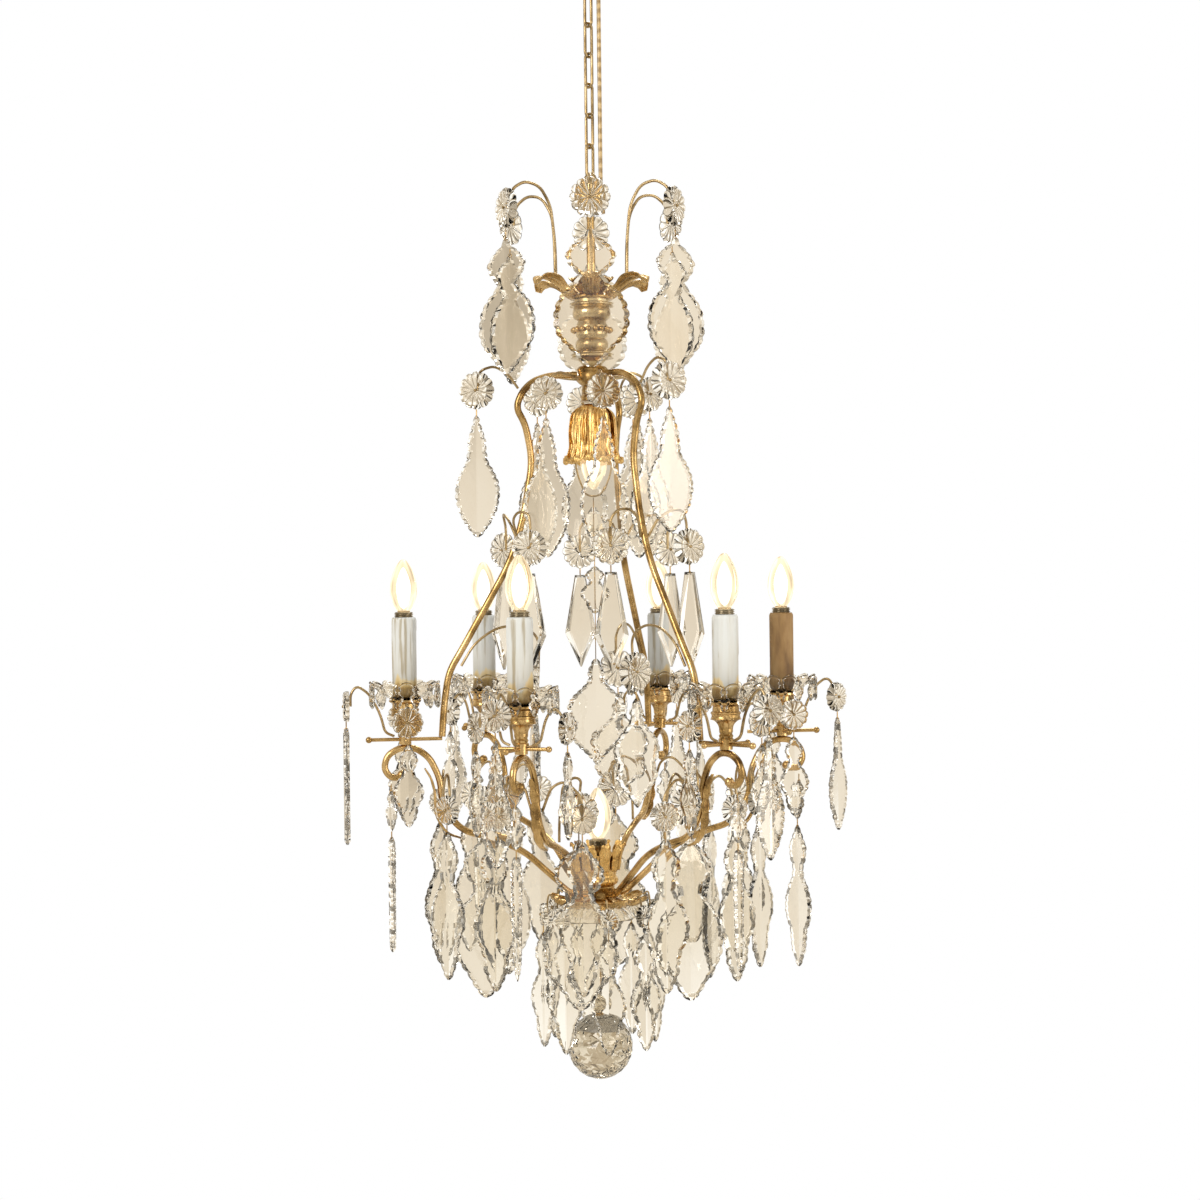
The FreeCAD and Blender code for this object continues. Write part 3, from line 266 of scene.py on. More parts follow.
def cord_material():
    """A gold translucent jacket over twisted cores, which show as a slow spiral."""
    material, nodes, links, shader = new_material("cord_jacket")
    place = nodes.new("ShaderNodeTexCoord")
    wave = nodes.new("ShaderNodeTexWave")
    wave.bands_direction = "Z"
    set_inputs(wave, Scale=24.0, Distortion=3.0, Detail_Scale=2.0)
    links.new(place.outputs["Object"], wave.inputs["Vector"])
    links.new(ramp(nodes, links, wave.outputs["Fac"], ((0.1, (0.3, 0.19, 0.07)),
                                                       (0.8, (0.58, 0.42, 0.2)))),
              shader.inputs["Base Color"])
    set_inputs(shader, Roughness=0.28, Coat_Weight=0.5, Coat_Roughness=0.1)
    bump(nodes, links, wave.outputs["Fac"], shader, 0.0003, 0.4)
    return material


def floor_material():
    material, nodes, links, shader = new_material("floor")
    links.new(ramp(nodes, links, noise(nodes, links, 3.0), ((0.3, (0.8, 0.79, 0.77)),
                                                            (0.7, (0.84, 0.83, 0.81)))),
              shader.inputs["Base Color"])
    shader.inputs["Roughness"].default_value = 0.7
    return material


BRASS = brass_material("gilt_brass", (0.72, 0.51, 0.25), (0.44, 0.285, 0.11),
                       (0.15, 0.085, 0.03), (0.16, 0.34))
DARK_BRASS = brass_material("worn_brass", (0.54, 0.42, 0.25), (0.36, 0.26, 0.13),
                            (0.13, 0.085, 0.04), (0.22, 0.4))
# Brighter, more golden brass: painted lamplight on the bell and the gallery round the bulbs.
LAMPLIGHT_PAINTED_BRASS = brass_material("painted_lamplight_brass", (0.93, 0.68, 0.32), (0.7, 0.45, 0.16),
                           (0.24, 0.13, 0.04), (0.18, 0.36))
HOLDER_METAL = brass_material("holder_metal", (0.5, 0.44, 0.33), (0.3, 0.25, 0.17),
                              (0.12, 0.09, 0.05), (0.15, 0.3))
PALE_BRASS = brass_material("pale_brass", (0.66, 0.54, 0.34), (0.5, 0.38, 0.2),
                            (0.24, 0.16, 0.07), (0.2, 0.38))
CRYSTAL = glass_material("crystal", (0.99, 0.975, 0.94), (0.98, 0.955, 0.905))
CROWN_CRYSTAL = glass_material("crown_crystal", (0.99, 0.965, 0.915), (0.98, 0.945, 0.88), 1.33)
SKIRT_CRYSTAL = glass_material("skirt_crystal", (0.955, 0.93, 0.875), (0.93, 0.9, 0.835))
SMOKY = glass_material("ball_crystal", (0.66, 0.59, 0.46), (0.6, 0.53, 0.41))
PRESSED = glass_material("pressed_crystal", (0.99, 0.97, 0.93), (0.97, 0.94, 0.88), 1.27, 0.02)
# Dark grey glass: painted shade on chosen rim, bevel and ball faces, in place of the dark room they
# would mirror.
PAINTED_SHADE_GLASS = glass_material("painted_shade_glass", (0.42, 0.4, 0.36), (0.16, 0.15, 0.13), 1.54, 0.05, 0.6)
# Paler grey glass: fainter painted shade on chosen faces of the crown drops, pears, coffins and
# spades.
PAINTED_GREY_SHADE_GLASS = glass_material("painted_grey_shade_glass", (0.85, 0.82, 0.76), (0.55, 0.52, 0.46), 1.54, 0.05, 0.85)
# Grey-brown glass: painted shade beside the grooves between rosette petals.
GROOVE_SHADE_GLASS = glass_material("painted_groove_shade", (0.44, 0.37, 0.27), (0.28, 0.23, 0.15), 1.27, 0.15, 0.5)
PAN_GLASS = glass_material("pan_glass", (0.99, 0.975, 0.94), (0.97, 0.945, 0.9), 1.2, 0.03)
BULB_GLASS = bulb_glass_material()
GLOW = glow_material("filament_glow", (1.0, 0.98, 0.9), (1.0, 0.95, 0.8), 1.7)
PAINT = paint_material()
CARD = card_material()
STEEL = steel_material()
CORD = cord_material()

# ---- mesh building


class Builder:
    """Gathers vertices and faces, with a material index and shading for each face."""

    def __init__(self):
        self.verts = []
        self.faces = []
        self.marks = []

    def add(self, part, place=Matrix.Identity(4), material=0, smooth=True, dark=None):
        """Faces for which dark is true get the third material, which paints shade on them."""
        verts, faces = part
        start = len(self.verts)
        self.verts += [place @ Vector(v) for v in verts]
        self.faces += [tuple(start + i for i in face) for face in faces]
        self.marks += [(2 if dark and dark(face) else material, smooth) for face in faces]

    def make(self, name, node, materials, body="chandelier"):
        """Makes the piece that takes the place of a CAD node and rides on a body."""
        mesh = bpy.data.meshes.new(name)
        mesh.from_pydata(self.verts, [], self.faces)
        for polygon, (material, smooth) in zip(mesh.polygons, self.marks):
            polygon.material_index = material
            polygon.use_smooth = smooth
        for material in materials:
            mesh.materials.append(material)
        piece = add_object(name, mesh)
        recalculate(mesh)
        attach(piece, body)
        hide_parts(node)


def recalculate(mesh):
    """Turns all faces outward."""
    work = bmesh.new()
    work.from_mesh(mesh)
    bmesh.ops.recalc_face_normals(work, faces=work.faces)
    work.to_mesh(mesh)
    work.free()


def smooth_line(points, steps):
    """A Catmull-Rom line through the points, with this many steps to each run."""
    ends = [2 * np.array(points[0]) - np.array(points[1])]
    line = ends + [np.array(p, float) for p in points]
    line.append(2 * line[-1] - line[-2])
    found = []
    for k in range(1, len(line) - 2):
        a, b, c, d = line[k - 1:k + 3]
        for i in range(steps):
            t = i / steps
            found.append(0.5 * (2 * b + (c - a) * t + (2 * a - 5 * b + 4 * c - d) * t * t
                                + (3 * b - a - 3 * c + d) * t ** 3))
    found.append(line[-2])
    return found


def grid_faces(rows, columns, wrap_rows=False, wrap_columns=True):
    """Quads over a grid of rows by columns."""
    faces = []
    for i in range(rows if wrap_rows else rows - 1):
        for j in range(columns if wrap_columns else columns - 1):
            k = (j + 1) % columns
            n = (i + 1) % rows
            faces.append((i * columns + j, i * columns + k, n * columns + k, n * columns + j))
    return faces


def end_caps(rows, columns):
    """The first and the last row of a grid, closed."""
    last = rows * columns
    return [tuple(range(columns - 1, -1, -1)), tuple(range(last - columns, last))]


def lathe(outline, segments=48, closed=False, flute=0.0, flutes=0):
    """Turns (r, z) points about Z. Flutes press a share of the radius in, this many times."""
    verts = []
    for r, z in outline:
        for k in range(segments):
            angle = 2 * math.pi * k / segments
            reach = r * (1 - flute * (0.5 - 0.5 * math.cos(flutes * angle)))
            verts.append((reach * math.cos(angle), reach * math.sin(angle), z))
    faces = grid_faces(len(outline), segments, wrap_rows=closed)
    return verts, faces if closed else faces + end_caps(len(outline), segments)


def tube(points, radius, sides, closed=False):
    """A round wire along points."""
    points = [Vector(p) for p in points]
    verts = []
    side = None
    for k, point in enumerate(points):
        before = points[k - 1] if k or closed else points[0]
        after = points[(k + 1) % len(points)] if k + 1 < len(points) or closed else points[-1]
        along = (after - before).normalized()
        if side is None:
            side = along.orthogonal()
        side = (side - along * side.dot(along)).normalized()
        other = along.cross(side)
        for j in range(sides):
            angle = 2 * math.pi * j / sides
            verts.append(point + (side * math.cos(angle) + other * math.sin(angle)) * radius)
    faces = grid_faces(len(points), sides, wrap_rows=closed)
    return verts, faces if closed else faces + end_caps(len(points), sides)


def ring(radius, wire, steps=16):
    """A small wire ring about the Y axis."""
    points = []
    for k in range(steps):
        angle = 2 * math.pi * k / steps
        points.append((radius * math.cos(angle), 0, radius * math.sin(angle)))
    return tube(points, wire, 6, closed=True)


def at(point, azimuth=0.0):
    return Matrix.Translation(point) @ Matrix.Rotation(azimuth, 4, "Z")


# ---- places, from the frame


class Place:
    """One solid of a node: its top, size, middle and the azimuth that it faces, in radians."""

    def __init__(self, points):
        low, high = points.min(0), points.max(0)
        self.low_z, self.top_z = low[2], high[2]
        self.height = high[2] - low[2]
        middle = (low + high) / 2
        self.middle = Vector(middle)
        self.top = Vector((middle[0], middle[1], high[2]))
        flat = points[:, :2] - points[:, :2].mean(0)
        vectors = np.linalg.eigh(flat.T @ flat)[1]
        normal = vectors[:, 0]
        if normal @ middle[:2] < 0:
            normal = -normal
        if abs(middle[0]) + abs(middle[1]) < 1e-3:
            normal = np.array((0.0, -1.0))
        self.facing = math.atan2(normal[1], normal[0])
        self.width = np.ptp(flat @ vectors[:, 1])
        self.azimuth = math.atan2(middle[1], middle[0])


def places(node):
    """The separate solids of a CAD node, in order of azimuth and then height."""
    work = bmesh.new()
    work.from_mesh(frame["nodes"][node].data)
    bmesh.ops.remove_doubles(work, verts=work.verts, dist=1e-6)
    seen = set()
    found = []
    for first in work.verts:
        if first in seen:
            continue
        seen.add(first)
        island = [first]
        for vert in island:
            for edge in vert.link_edges:
                other = edge.other_vert(vert)
                if other not in seen:
                    seen.add(other)
                    island.append(other)
        found.append(Place(np.array([v.co for v in island])))
    work.free()
    return sorted(found, key=lambda p: (round(p.azimuth, 3), -round(p.top_z, 4)))


# ---- cut crystal

# Outlines of the drops as (share of height from the top, share of half width).
BAROQUE = ((0, .08), (.06, .19), (.12, .5), (.2, .68), (.27, .57), (.335, .37), (.4, .5),
           (.47, .78), (.55, .94), (.63, 1), (.72, .98), (.79, .86), (.86, .62), (.92, .42),
           (.97, .26), (1, .1))
PEAR = ((0, .12), (.07, .19), (.14, .32), (.22, .42), (.3, .44), (.38, .52), (.46, .76),
        (.55, .95), (.63, 1), (.72, .95), (.8, .82), (.87, .63), (.94, .38), (1, .1))
SPADE = ((0, .1), (.06, .2), (.12, .3), (.19, .28), (.26, .46), (.36, .84), (.45, 1), (.53, .95),
         (.6, .82), (.66, .86), (.73, .9), (.8, .72), (.87, .46), (.94, .22), (1, .03))
LEAF = ((0, .14), (.07, .36), (.14, .62), (.22, .6), (.29, .42), (.36, .46), (.45, .8), (.55, 1),
        (.65, .94), (.73, .68), (.8, .6), (.87, .54), (.94, .34), (1, .12))
ICICLE = ((0, .5), (.06, .8), (.14, 1), (.5, .86), (.86, .66), (1, .1))


# How deep the rim dips at the three steps of one scallop, as a share of the scallop's depth.
LOBE_DIPS = (1.0, 0.12, 0.12)

# Points round the section of a drop, and which of its faces are ground bevels and rims.
SECTION = 10
BEVELS = (0, 3, 5, 8)
RIMS = (4, 9)


def is_painted_shade_face(face):
    """Whether a face gets painted shade: two in three of the rim cuts and one in five of the
    bevels.
    """
    if len(face) != 4:
        return False
    column, lobe = face[0] % SECTION, face[0] // SECTION // len(LOBE_DIPS)
    if column in RIMS:
        return (lobe * 5 + column) % 3 > 0
    return column in BEVELS and (lobe * 7 + column) % 5 == 0


def drop(form, height, width, thick, lobe, pitch, bevel, ridge=1.0):
    """A cut plate: scalloped rim, ground bevel, flat face with a low ridge down its middle.

    It hangs down from the origin and faces +X. lobe is the depth of the scallops in its rim and
    pitch the length of each, bevel is the width of the ground edge, ridge the height of its face.
    """
    half = width / 2
    line = smooth_line(form, 12)
    shares = np.array([p[0] for p in line])
    widths = np.array([p[1] for p in line]) * half
    run = np.concatenate([[0], np.cumsum(np.hypot(np.diff(shares) * height, np.diff(widths)))])
    steps = len(LOBE_DIPS)
    rows = steps * max(2, round(run[-1] / pitch)) + 1
    verts = []
    for k in range(rows):
        s = run[-1] * k / (rows - 1)
        share = float(np.interp(s, run, shares))
        edge = max(float(np.interp(s, run, widths)), 0.9 * MM)
        dip = LOBE_DIPS[k % steps]
        rim = max(edge - lobe * dip, 0.6 * MM)
        inner = edge - min((0.85 + 0.25 * dip) * bevel, 0.6 * edge)
        to_end = min(share, 1 - share) * height
        depth = thick / 2 * min(1.0, 0.3 + 0.7 * to_end / bevel)
        lip = min((0.5 + 0.7 * (k // steps % 2)) * MM, depth * 0.4)
        crest = depth - ridge * MM * inner / half
        z = -share * height
        verts += [(lip, rim, z), (crest, inner, z), (depth, 0, z), (crest, -inner, z),
                  (lip, -rim, z), (-lip, -rim, z), (-crest, -inner, z), (-depth, 0, z),
                  (-crest, inner, z), (-lip, rim, z)]
    return verts, grid_faces(rows, SECTION) + end_caps(rows, SECTION)


def coffin(place):
    """A drop cut in flat facets, with a kite in the middle of each face."""
    height = place.height
    thick = 9 * MM
    half = place.width / 2
    wide = -0.63 * height
    rim = [(0.34 * half, 0), (half, wide), (0.04 * half, -height), (-0.04 * half, -height),
           (-half, wide), (-0.34 * half, 0)]
    kite = [(0.2 * half, -0.03 * height), (0.68 * half, wide + 0.02 * height),
            (0, -0.9 * height), (0, -0.9 * height), (-0.68 * half, wide + 0.02 * height),
            (-0.2 * half, -0.03 * height)]
    lip = 1.2 * MM
    verts = [(-thick / 2, y, z) for y, z in kite] + [(-lip, y, z) for y, z in rim]
    verts += [(lip, y, z) for y, z in rim] + [(thick / 2, y, z) for y, z in kite]
    faces = grid_faces(4, 6)
    faces += [(0, 1, 2, 4, 5), (23, 22, 20, 19, 18)]
    return verts, faces


# A rosette: its petals, the steps across each, and (share of radius, swell) from the middle out.
PETALS = 12
PETAL_STEPS = 14
PETAL_RINGS = ((0.1, 0.7), (0.25, 0.86), (0.5, 0.98), (0.75, 1.0), (0.92, 0.86), (1.0, 0.5))


def rosette(radius, thick):
    """A pressed flower: rounded petals with sharp grooves between them, flat at the back."""
    columns = PETALS * PETAL_STEPS
    verts = []
    for share, swell in PETAL_RINGS + ((0.97, 0.0),):
        for k in range(columns):
            angle = 2 * math.pi * k / columns
            petal = math.sqrt(abs(math.cos(PETALS * angle / 2)))
            reach = radius * share * (1 - 0.11 * share * (1 - petal))
            lift = thick * (swell * (0.8 + 0.2 * petal) - 0.5)
            verts.append((lift, reach * math.sin(angle), -reach * math.cos(angle)))
    rows = len(PETAL_RINGS) + 1
    faces = grid_faces(rows, columns)
    faces.append(tuple(range(columns)))
    faces.append(tuple(range(rows * columns - 1, (rows - 1) * columns - 1, -1)))
    return verts, faces


def is_groove_shade_face(face):
    """Whether a petal face lies beside a groove, where painted shade darkens the glass."""
    ring_index, column = divmod(face[0], PETALS * PETAL_STEPS)
    beside = column % PETAL_STEPS in (PETAL_STEPS // 2 - 1, PETAL_STEPS // 2)
    return len(face) == 4 and beside and ring_index < len(PETAL_RINGS)


BALL_AROUND = 22
BALL_BANDS = 13


def faceted_ball(radius, around=BALL_AROUND, bands=BALL_BANDS):
    """A ball cut in staggered diamonds."""
    verts = [(0, 0, radius)]
    for band in range(1, bands):
        polar = math.pi * band / bands
        for k in range(around):
            angle = 2 * math.pi * (k + 0.5 * (band % 2)) / around
            verts.append((radius * math.sin(polar) * math.cos(angle),
                          radius * math.sin(polar) * math.sin(angle), radius * math.cos(polar)))
    verts.append((0, 0, -radius))
    last = len(verts) - 1
    faces = [(0, 1 + k, 1 + (k + 1) % around) for k in range(around)]
    for band in range(bands - 2):
        here, below = 1 + band * around, 1 + (band + 1) * around
        shift = 1 - band % 2
        for k in range(around):
            n = (k + 1) % around
            if shift:
                faces += [(here + k, below + k, here + n), (here + n, below + k, below + n)]
            else:
                faces += [(here + k, below + k, below + n), (here + k, below + n, here + n)]
    here = 1 + (bands - 2) * around
    faces += [(here + k, last, here + (k + 1) % around) for k in range(around)]
    return verts, faces


def add_drop(builder, shape, top, facing):
    """A drop that hangs from top, with the brass ring through its hole."""
    # Chosen rim and bevel faces get the third material, painted shade.
    builder.add(shape, at(top, facing), smooth=False, dark=is_painted_shade_face)
    loop = ring(2.6 * MM, 0.45 * MM)
    builder.add(loop, at(top - Vector((0, 0, 1.4 * MM)), facing), 1)


# Drops that face within this angle of the front count as front ones.
FRONT_REACH = math.radians(115)


def twisted(facing, share):
    """The facing of a front drop, turned this share of the way to the front, as wires let it."""
    from_front = (facing + 1.5 * math.pi) % (2 * math.pi) - math.pi
    if abs(from_front) > FRONT_REACH:
        return facing
    return facing - share * from_front


def drops_piece(name, node, cut, edge, share=0.0, glass=CRYSTAL):
    """Builds every solid of a crystal node with the shape that cut(place) gives; edge is the glass
    of painted shade on chosen faces.
    """
    builder = Builder()
    for place in places(node):
        add_drop(builder, cut(place), place.top, twisted(place.facing, share))
    builder.make(name, node, [glass, BRASS, edge])


def rosettes_piece(name, node):
    builder = Builder()
    for place in places(node):
        radius = place.height / 2
        place_matrix = at(place.middle, place.facing)
        # Faces beside the grooves get painted shade.
        builder.add(rosette(radius, 8 * MM), place_matrix, dark=is_groove_shade_face)
        head = lathe([(0.3 * MM, 2.1 * MM), (1.5 * MM, 1.6 * MM), (2.1 * MM, 0.4 * MM),
                      (2.1 * MM, -1.2 * MM)], 12)
        turn = Matrix.Translation((3.4 * MM, 0, 0)) @ Matrix.Rotation(math.radians(90), 4, "Y")
        builder.add(head, place_matrix @ turn, 1)
    builder.make(name, node, [PRESSED, DARK_BRASS, GROOVE_SHADE_GLASS])


def baroque(place):
    return drop(BAROQUE, place.height, place.width, 9 * MM, 2.6 * MM, 13 * MM, 7 * MM, 0.6)


def pear(place):
    return drop(PEAR, place.height, place.width, 6.5 * MM, 2.0 * MM, 9.5 * MM, 5.5 * MM, 0.3)


def skirt_cut(place):
    if place.height > 0.2:
        return baroque(place)
    return drop(LEAF, place.height, place.width, 7 * MM, 1.8 * MM, 11 * MM, 6 * MM)


def arm_cut(place):
    """Icicles are the narrow ones, pears the long ones at the arm ends, the rest are leaves."""
    if place.width < 0.018:
        return drop(ICICLE, place.height, place.width, 8 * MM, 0.9 * MM, 6 * MM, 4 * MM, 0.4)
    if 0.11 < place.height < 0.16:
        return drop(PEAR, place.height, place.width, 8 * MM, 1.5 * MM, 8 * MM, 5 * MM)
    return drop(LEAF, place.height, place.width, 7 * MM, 1.5 * MM, 9 * MM, 5 * MM, 0.6)


def leaf_drop(place):
    return drop(LEAF, place.height, place.width, 7 * MM, 1.6 * MM, 10 * MM, 5 * MM)


def spade(place):
    return drop(SPADE, place.height, place.width, 8 * MM, 2.2 * MM, 12 * MM, 7 * MM, 0.5)


def make_crystals():
    rosettes_piece("rosettes_upper", "upper_rosettes")
    rosettes_piece("rosettes_arms", "arm_rosettes")
    rosettes_piece("rosettes_skirt", "skirt_rosettes")
    drops_piece("pears_inner", "inner_drops", pear, PAINTED_GREY_SHADE_GLASS)
    drops_piece("pears_shoulder", "shoulder_drops", pear, PAINTED_GREY_SHADE_GLASS)
    drops_piece("coffins_waist", "waist_drops", coffin, PAINTED_GREY_SHADE_GLASS)
    drops_piece("spades_foot", "inner_plates", spade, PAINTED_GREY_SHADE_GLASS)
    drops_piece("drops_arms", "arm_drops", arm_cut, PAINTED_SHADE_GLASS)
    drops_piece("plates_skirt", "skirt_plates", skirt_cut, PAINTED_SHADE_GLASS, 0.0, SKIRT_CRYSTAL)
    drops_piece("drops_bottom", "bottom_drops", leaf_drop, PAINTED_SHADE_GLASS, 0.5, SKIRT_CRYSTAL)


CROWN_DROP_HEIGHT = 0.175
CROWN_DROP_WIDTH = 0.097


def make_crown_drops():
    """The six swinging drops of the crown, each with its pin."""
    for k in range(6):
        node = f"crown_drop_{k + 1}"
        plate = max(places(node), key=lambda p: p.height)
        low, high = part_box(node)
        builder = Builder()
        top = Vector((plate.middle.x, plate.middle.y, low.z + CROWN_DROP_HEIGHT))
        shape = drop(BAROQUE, CROWN_DROP_HEIGHT, CROWN_DROP_WIDTH, 7 * MM, 2.6 * MM, 13 * MM,
                     8 * MM, 0.4)
        add_drop(builder, shape, top, twisted(plate.azimuth, 0.35))
        pin = tube([Vector((top.x, top.y, high.z)), top - Vector((0, 0, 1 * MM))], 0.7 * MM, 8)
        builder.add(pin, material=1)
        builder.make(f"baroque_{node}", node, [CROWN_CRYSTAL, BRASS, PAINTED_GREY_SHADE_GLASS], node)


def make_centre_string():
    """Prism, small drop, bead and spade plate on one wire."""
    low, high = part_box("centre_string")
    builder = Builder()
    facing = math.radians(-90)
    wire = tube([Vector((0, 0, high.z)), Vector((0, 0, low.z + 0.139))], 0.6 * MM, 8)
    builder.add(wire, material=1)
    prism = lathe([(3 * MM, 0), (9 * MM, -9 * MM), (14 * MM, -36 * MM), (9 * MM, -49 * MM),
                   (2 * MM, -57 * MM)], 6)
    builder.add(prism, at(Vector((0, 0, high.z - 13 * MM))), 0, False)
    small = drop(LEAF, 0.062, 0.040, 9 * MM, 1.0 * MM, 6 * MM, 6 * MM)
    add_drop(builder, small, Vector((0, 0, high.z - 91 * MM)), facing)
    bead = faceted_ball(7 * MM, 8, 5)
    builder.add(bead, at(Vector((0, 0, high.z - 181 * MM))), 0, False)
    plate = drop(SPADE, 0.140, 0.078, 9 * MM, 1.8 * MM, 9 * MM, 8 * MM)
    add_drop(builder, plate, Vector((0, 0, low.z + 0.140)), facing)
    builder.make("string_centre", "centre_string", [CRYSTAL, BRASS, PAINTED_SHADE_GLASS],
                 "centre_string")


def make_ball():
    """The faceted ball on its stem, with a bead above it. Its top four bands look dark: painted
    shade, in the dark glass.
    """
    low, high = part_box("crystal_ball")
    radius = (high.x - low.x) / 2
    builder = Builder()
    centre = Vector((0, 0, low.z + radius))
    shaded = 1 + BALL_AROUND * 4
    builder.add(faceted_ball(radius), at(centre), 0, False, lambda face: max(face) < shaded)
    bead = at(centre + Vector((0, 0, radius + 12.5 * MM)))
    builder.add(faceted_ball(12.5 * MM, 10, 6), bead, 0, False)
    stem = [Vector((0, 0, high.z)), centre + Vector((0, 0, radius + 24 * MM))]
    builder.add(tube(stem, 1.1 * MM, 10), material=1)
    cap = lathe([(2 * MM, 3 * MM), (7 * MM, 1.5 * MM), (9 * MM, -1 * MM), (9 * MM, -2 * MM)], 20)
    builder.add(cap, at(centre + Vector((0, 0, radius - 0.5 * MM))), 1)
    builder.make("ball_faceted", "crystal_ball", [SMOKY, BRASS, PAINTED_SHADE_GLASS], "crystal_ball")


# ---- gilt castings


def acanthus(spine, widths, thick=1.6 * MM, lobes=4, depth=0.32, groove=0.1, columns=15):
    """A leaf along a spine of (r, z), facing outward: lobed edges, raised veins, a cupped back."""
    line = smooth_line(spine, 9)
    sizes = smooth_line([(w, 0) for w in widths], 9)
    rows = len(line)
    front, back = [], []
    for i, point in enumerate(line):
        before, after = line[max(i - 1, 0)], line[min(i + 1, rows - 1)]
        along = np.array(after) - np.array(before)
        along = along / np.linalg.norm(along)
        out = Vector((along[1], 0, -along[0]))
        share = i / (rows - 1)
        lobe = 1 - depth * (1 - abs(math.sin(math.pi * lobes * share))) * min(1, share * 3)
        half = max(sizes[i][0], 0.4 * MM) / 2 * lobe
        for j in range(columns):
            u = 2 * j / (columns - 1) - 1
            vein = math.cos(u * math.pi * 3.5) * groove * half + (1 - u * u) * 0.22 * half
            rim = 0.35 if abs(u) == 1 else 1.0
            middle = Vector((point[0], 0, point[1])) + Vector((0, 1, 0)) * (u * half)
            front.append(middle + out * (vein + thick / 2 * rim))
            back.append(middle + out * (vein - thick / 2 * rim))
    count = len(front)
    faces = grid_faces(rows, columns, wrap_columns=False)
    faces += [tuple(count + i for i in reversed(f)) for f in faces]
    edge = list(range(columns)) + [i * columns + columns - 1 for i in range(1, rows)]
    edge += list(range(rows * columns - 2, (rows - 1) * columns - 1, -1))
    edge += [i * columns for i in range(rows - 2, 0, -1)]
    for a, b in zip(edge, edge[1:] + edge[:1]):
        faces.append((b, a, count + a, count + b))
    return front + back, faces


def scaled(values):
    """Pairs of millimetres as pairs of metres."""
    return [tuple(v * MM for v in pair) for pair in values]


def in_mm(*values):
    return [v * MM for v in values]


def add_round(builder, leaf, z, count, start=0.0):
    """Copies of a leaf evenly round the axis, at height z, from the start angle in degrees."""
    for k in range(count):
        builder.add(leaf, at(Vector((0, 0, z)), math.radians(start + 360 / count * k)))


def make_leaf_crown():
    """A knob with six leaves that curl out and end in rolled tips."""
    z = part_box("leaf_crown")[0].z
    builder = Builder()
    knob = smooth_line(scaled(((6, 26), (9, 25), (12, 16), (14, 10), (24, 6), (28, 3), (27, 0))), 5)
    builder.add(lathe([(r, z + h) for r, h in knob]))
    spine = scaled(((18, 2), (30, 6), (42, 16), (54, 25), (67, 28.5), (78, 26), (82, 17)))
    leaf = acanthus(spine, in_mm(16, 20, 26, 34, 38, 32, 16), 1.8 * MM, 3, 0.16, 0.07, 21)
    small_spine = scaled(((14, 6), (26, 15), (38, 23), (46, 24), (50, 20)))
    small = acanthus(small_spine, in_mm(12, 20, 22, 16, 6), 1.4 * MM, 3)
    add_round(builder, leaf, z, 6, -90)
    add_round(builder, small, z, 6, -60)
    builder.make("crown_leaves", "leaf_crown", [BRASS])


def make_bell():
    """The leaf bell round the downlight: a shell under two rows of hanging leaves."""
    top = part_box("acanthus_bell")[1].z
    builder = Builder()
    outer = ((6, 0), (14, 0), (20, -5), (24, -14), (26.5, -28), (27, -48), (26.5, -60))
    inner = ((24.6, -60), (24.6, -40), (22, -18), (15, -6), (6, -3))
    shell = smooth_line(scaled(outer), 4) + smooth_line(scaled(inner), 3)
    builder.add(lathe([(r, top + h) for r, h in shell], closed=True, flute=0.04, flutes=16))
    for turn, shift in ((-8, 2), (22, 0)):
        spine = scaled(((16 + shift, -6 + shift), (25 + shift, -14), (28 + shift, -34),
                        (28.5 + shift, -56), (32 + shift, -68 - shift), (37, -74 - shift),
                        (39, -68 - shift)))
        leaf = acanthus(spine, in_mm(14, 23, 26, 22, 23, 19, 7), 1.4 * MM, 4, 0.2, 0.07, 21)
        add_round(builder, leaf, top, 6, turn)
    # The bell's brass is painted brighter, for the downlight inside it.
    builder.make("bell_leaves", "acanthus_bell", [LAMPLIGHT_PAINTED_BRASS])


def make_gallery():
    """The fluted cup of the centre light, with curled leaf tips round its mouth."""
    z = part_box("light_gallery")[0].z
    builder = Builder()
    outer = ((5, 0), (20, 0), (26, 4), (26, 9), (23.5, 13), (25, 22), (26, 34), (27.5, 41))
    inner = ((25, 41), (23, 30), (21.5, 13), (21, 4), (5, 3))
    wall = smooth_line(scaled(outer), 4) + scaled(inner)
    builder.add(lathe([(r, z + h) for r, h in wall], 80, closed=True, flute=0.05, flutes=20))
    spine = scaled(((26, 20), (28, 34), (30, 46), (33.5, 54), (36, 55.5), (36.5, 51)))
    leaf = acanthus(spine, in_mm(12, 15, 16, 13, 9, 4), 1.4 * MM, 4, 0.26)
    add_round(builder, leaf, z, 10)
    # The gallery's brass is painted brighter, for the centre bulb inside it.
    builder.make("gallery_leaves", "light_gallery", [LAMPLIGHT_PAINTED_BRASS])


def make_bottom_hub():
    """The hub that the arms enter, over a dish of eight cast lobes."""
    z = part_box("bottom_hub")[1].z - 10 * MM
    builder = Builder()
    core = ((0.5, 10), (21, 10), (22, 8), (20, 6), (20, -5.5), (26, -7), (32, -9), (34, -12),
            (6.6, -12), (6.6, -6.2), (0.5, -6.2))
    builder.add(lathe([(r * MM, z + h * MM) for r, h in core]))
    spine = scaled(((20, -9.5), (34, -11), (48, -10), (59, -6), (65, -3)))
    lobe = acanthus(spine, in_mm(18, 30, 35, 28, 12), 2.0 * MM, 3, 0.2)
    add_round(builder, lobe, z, 8, 31.5)
    builder.make("hub_dish", "bottom_hub", [BRASS])


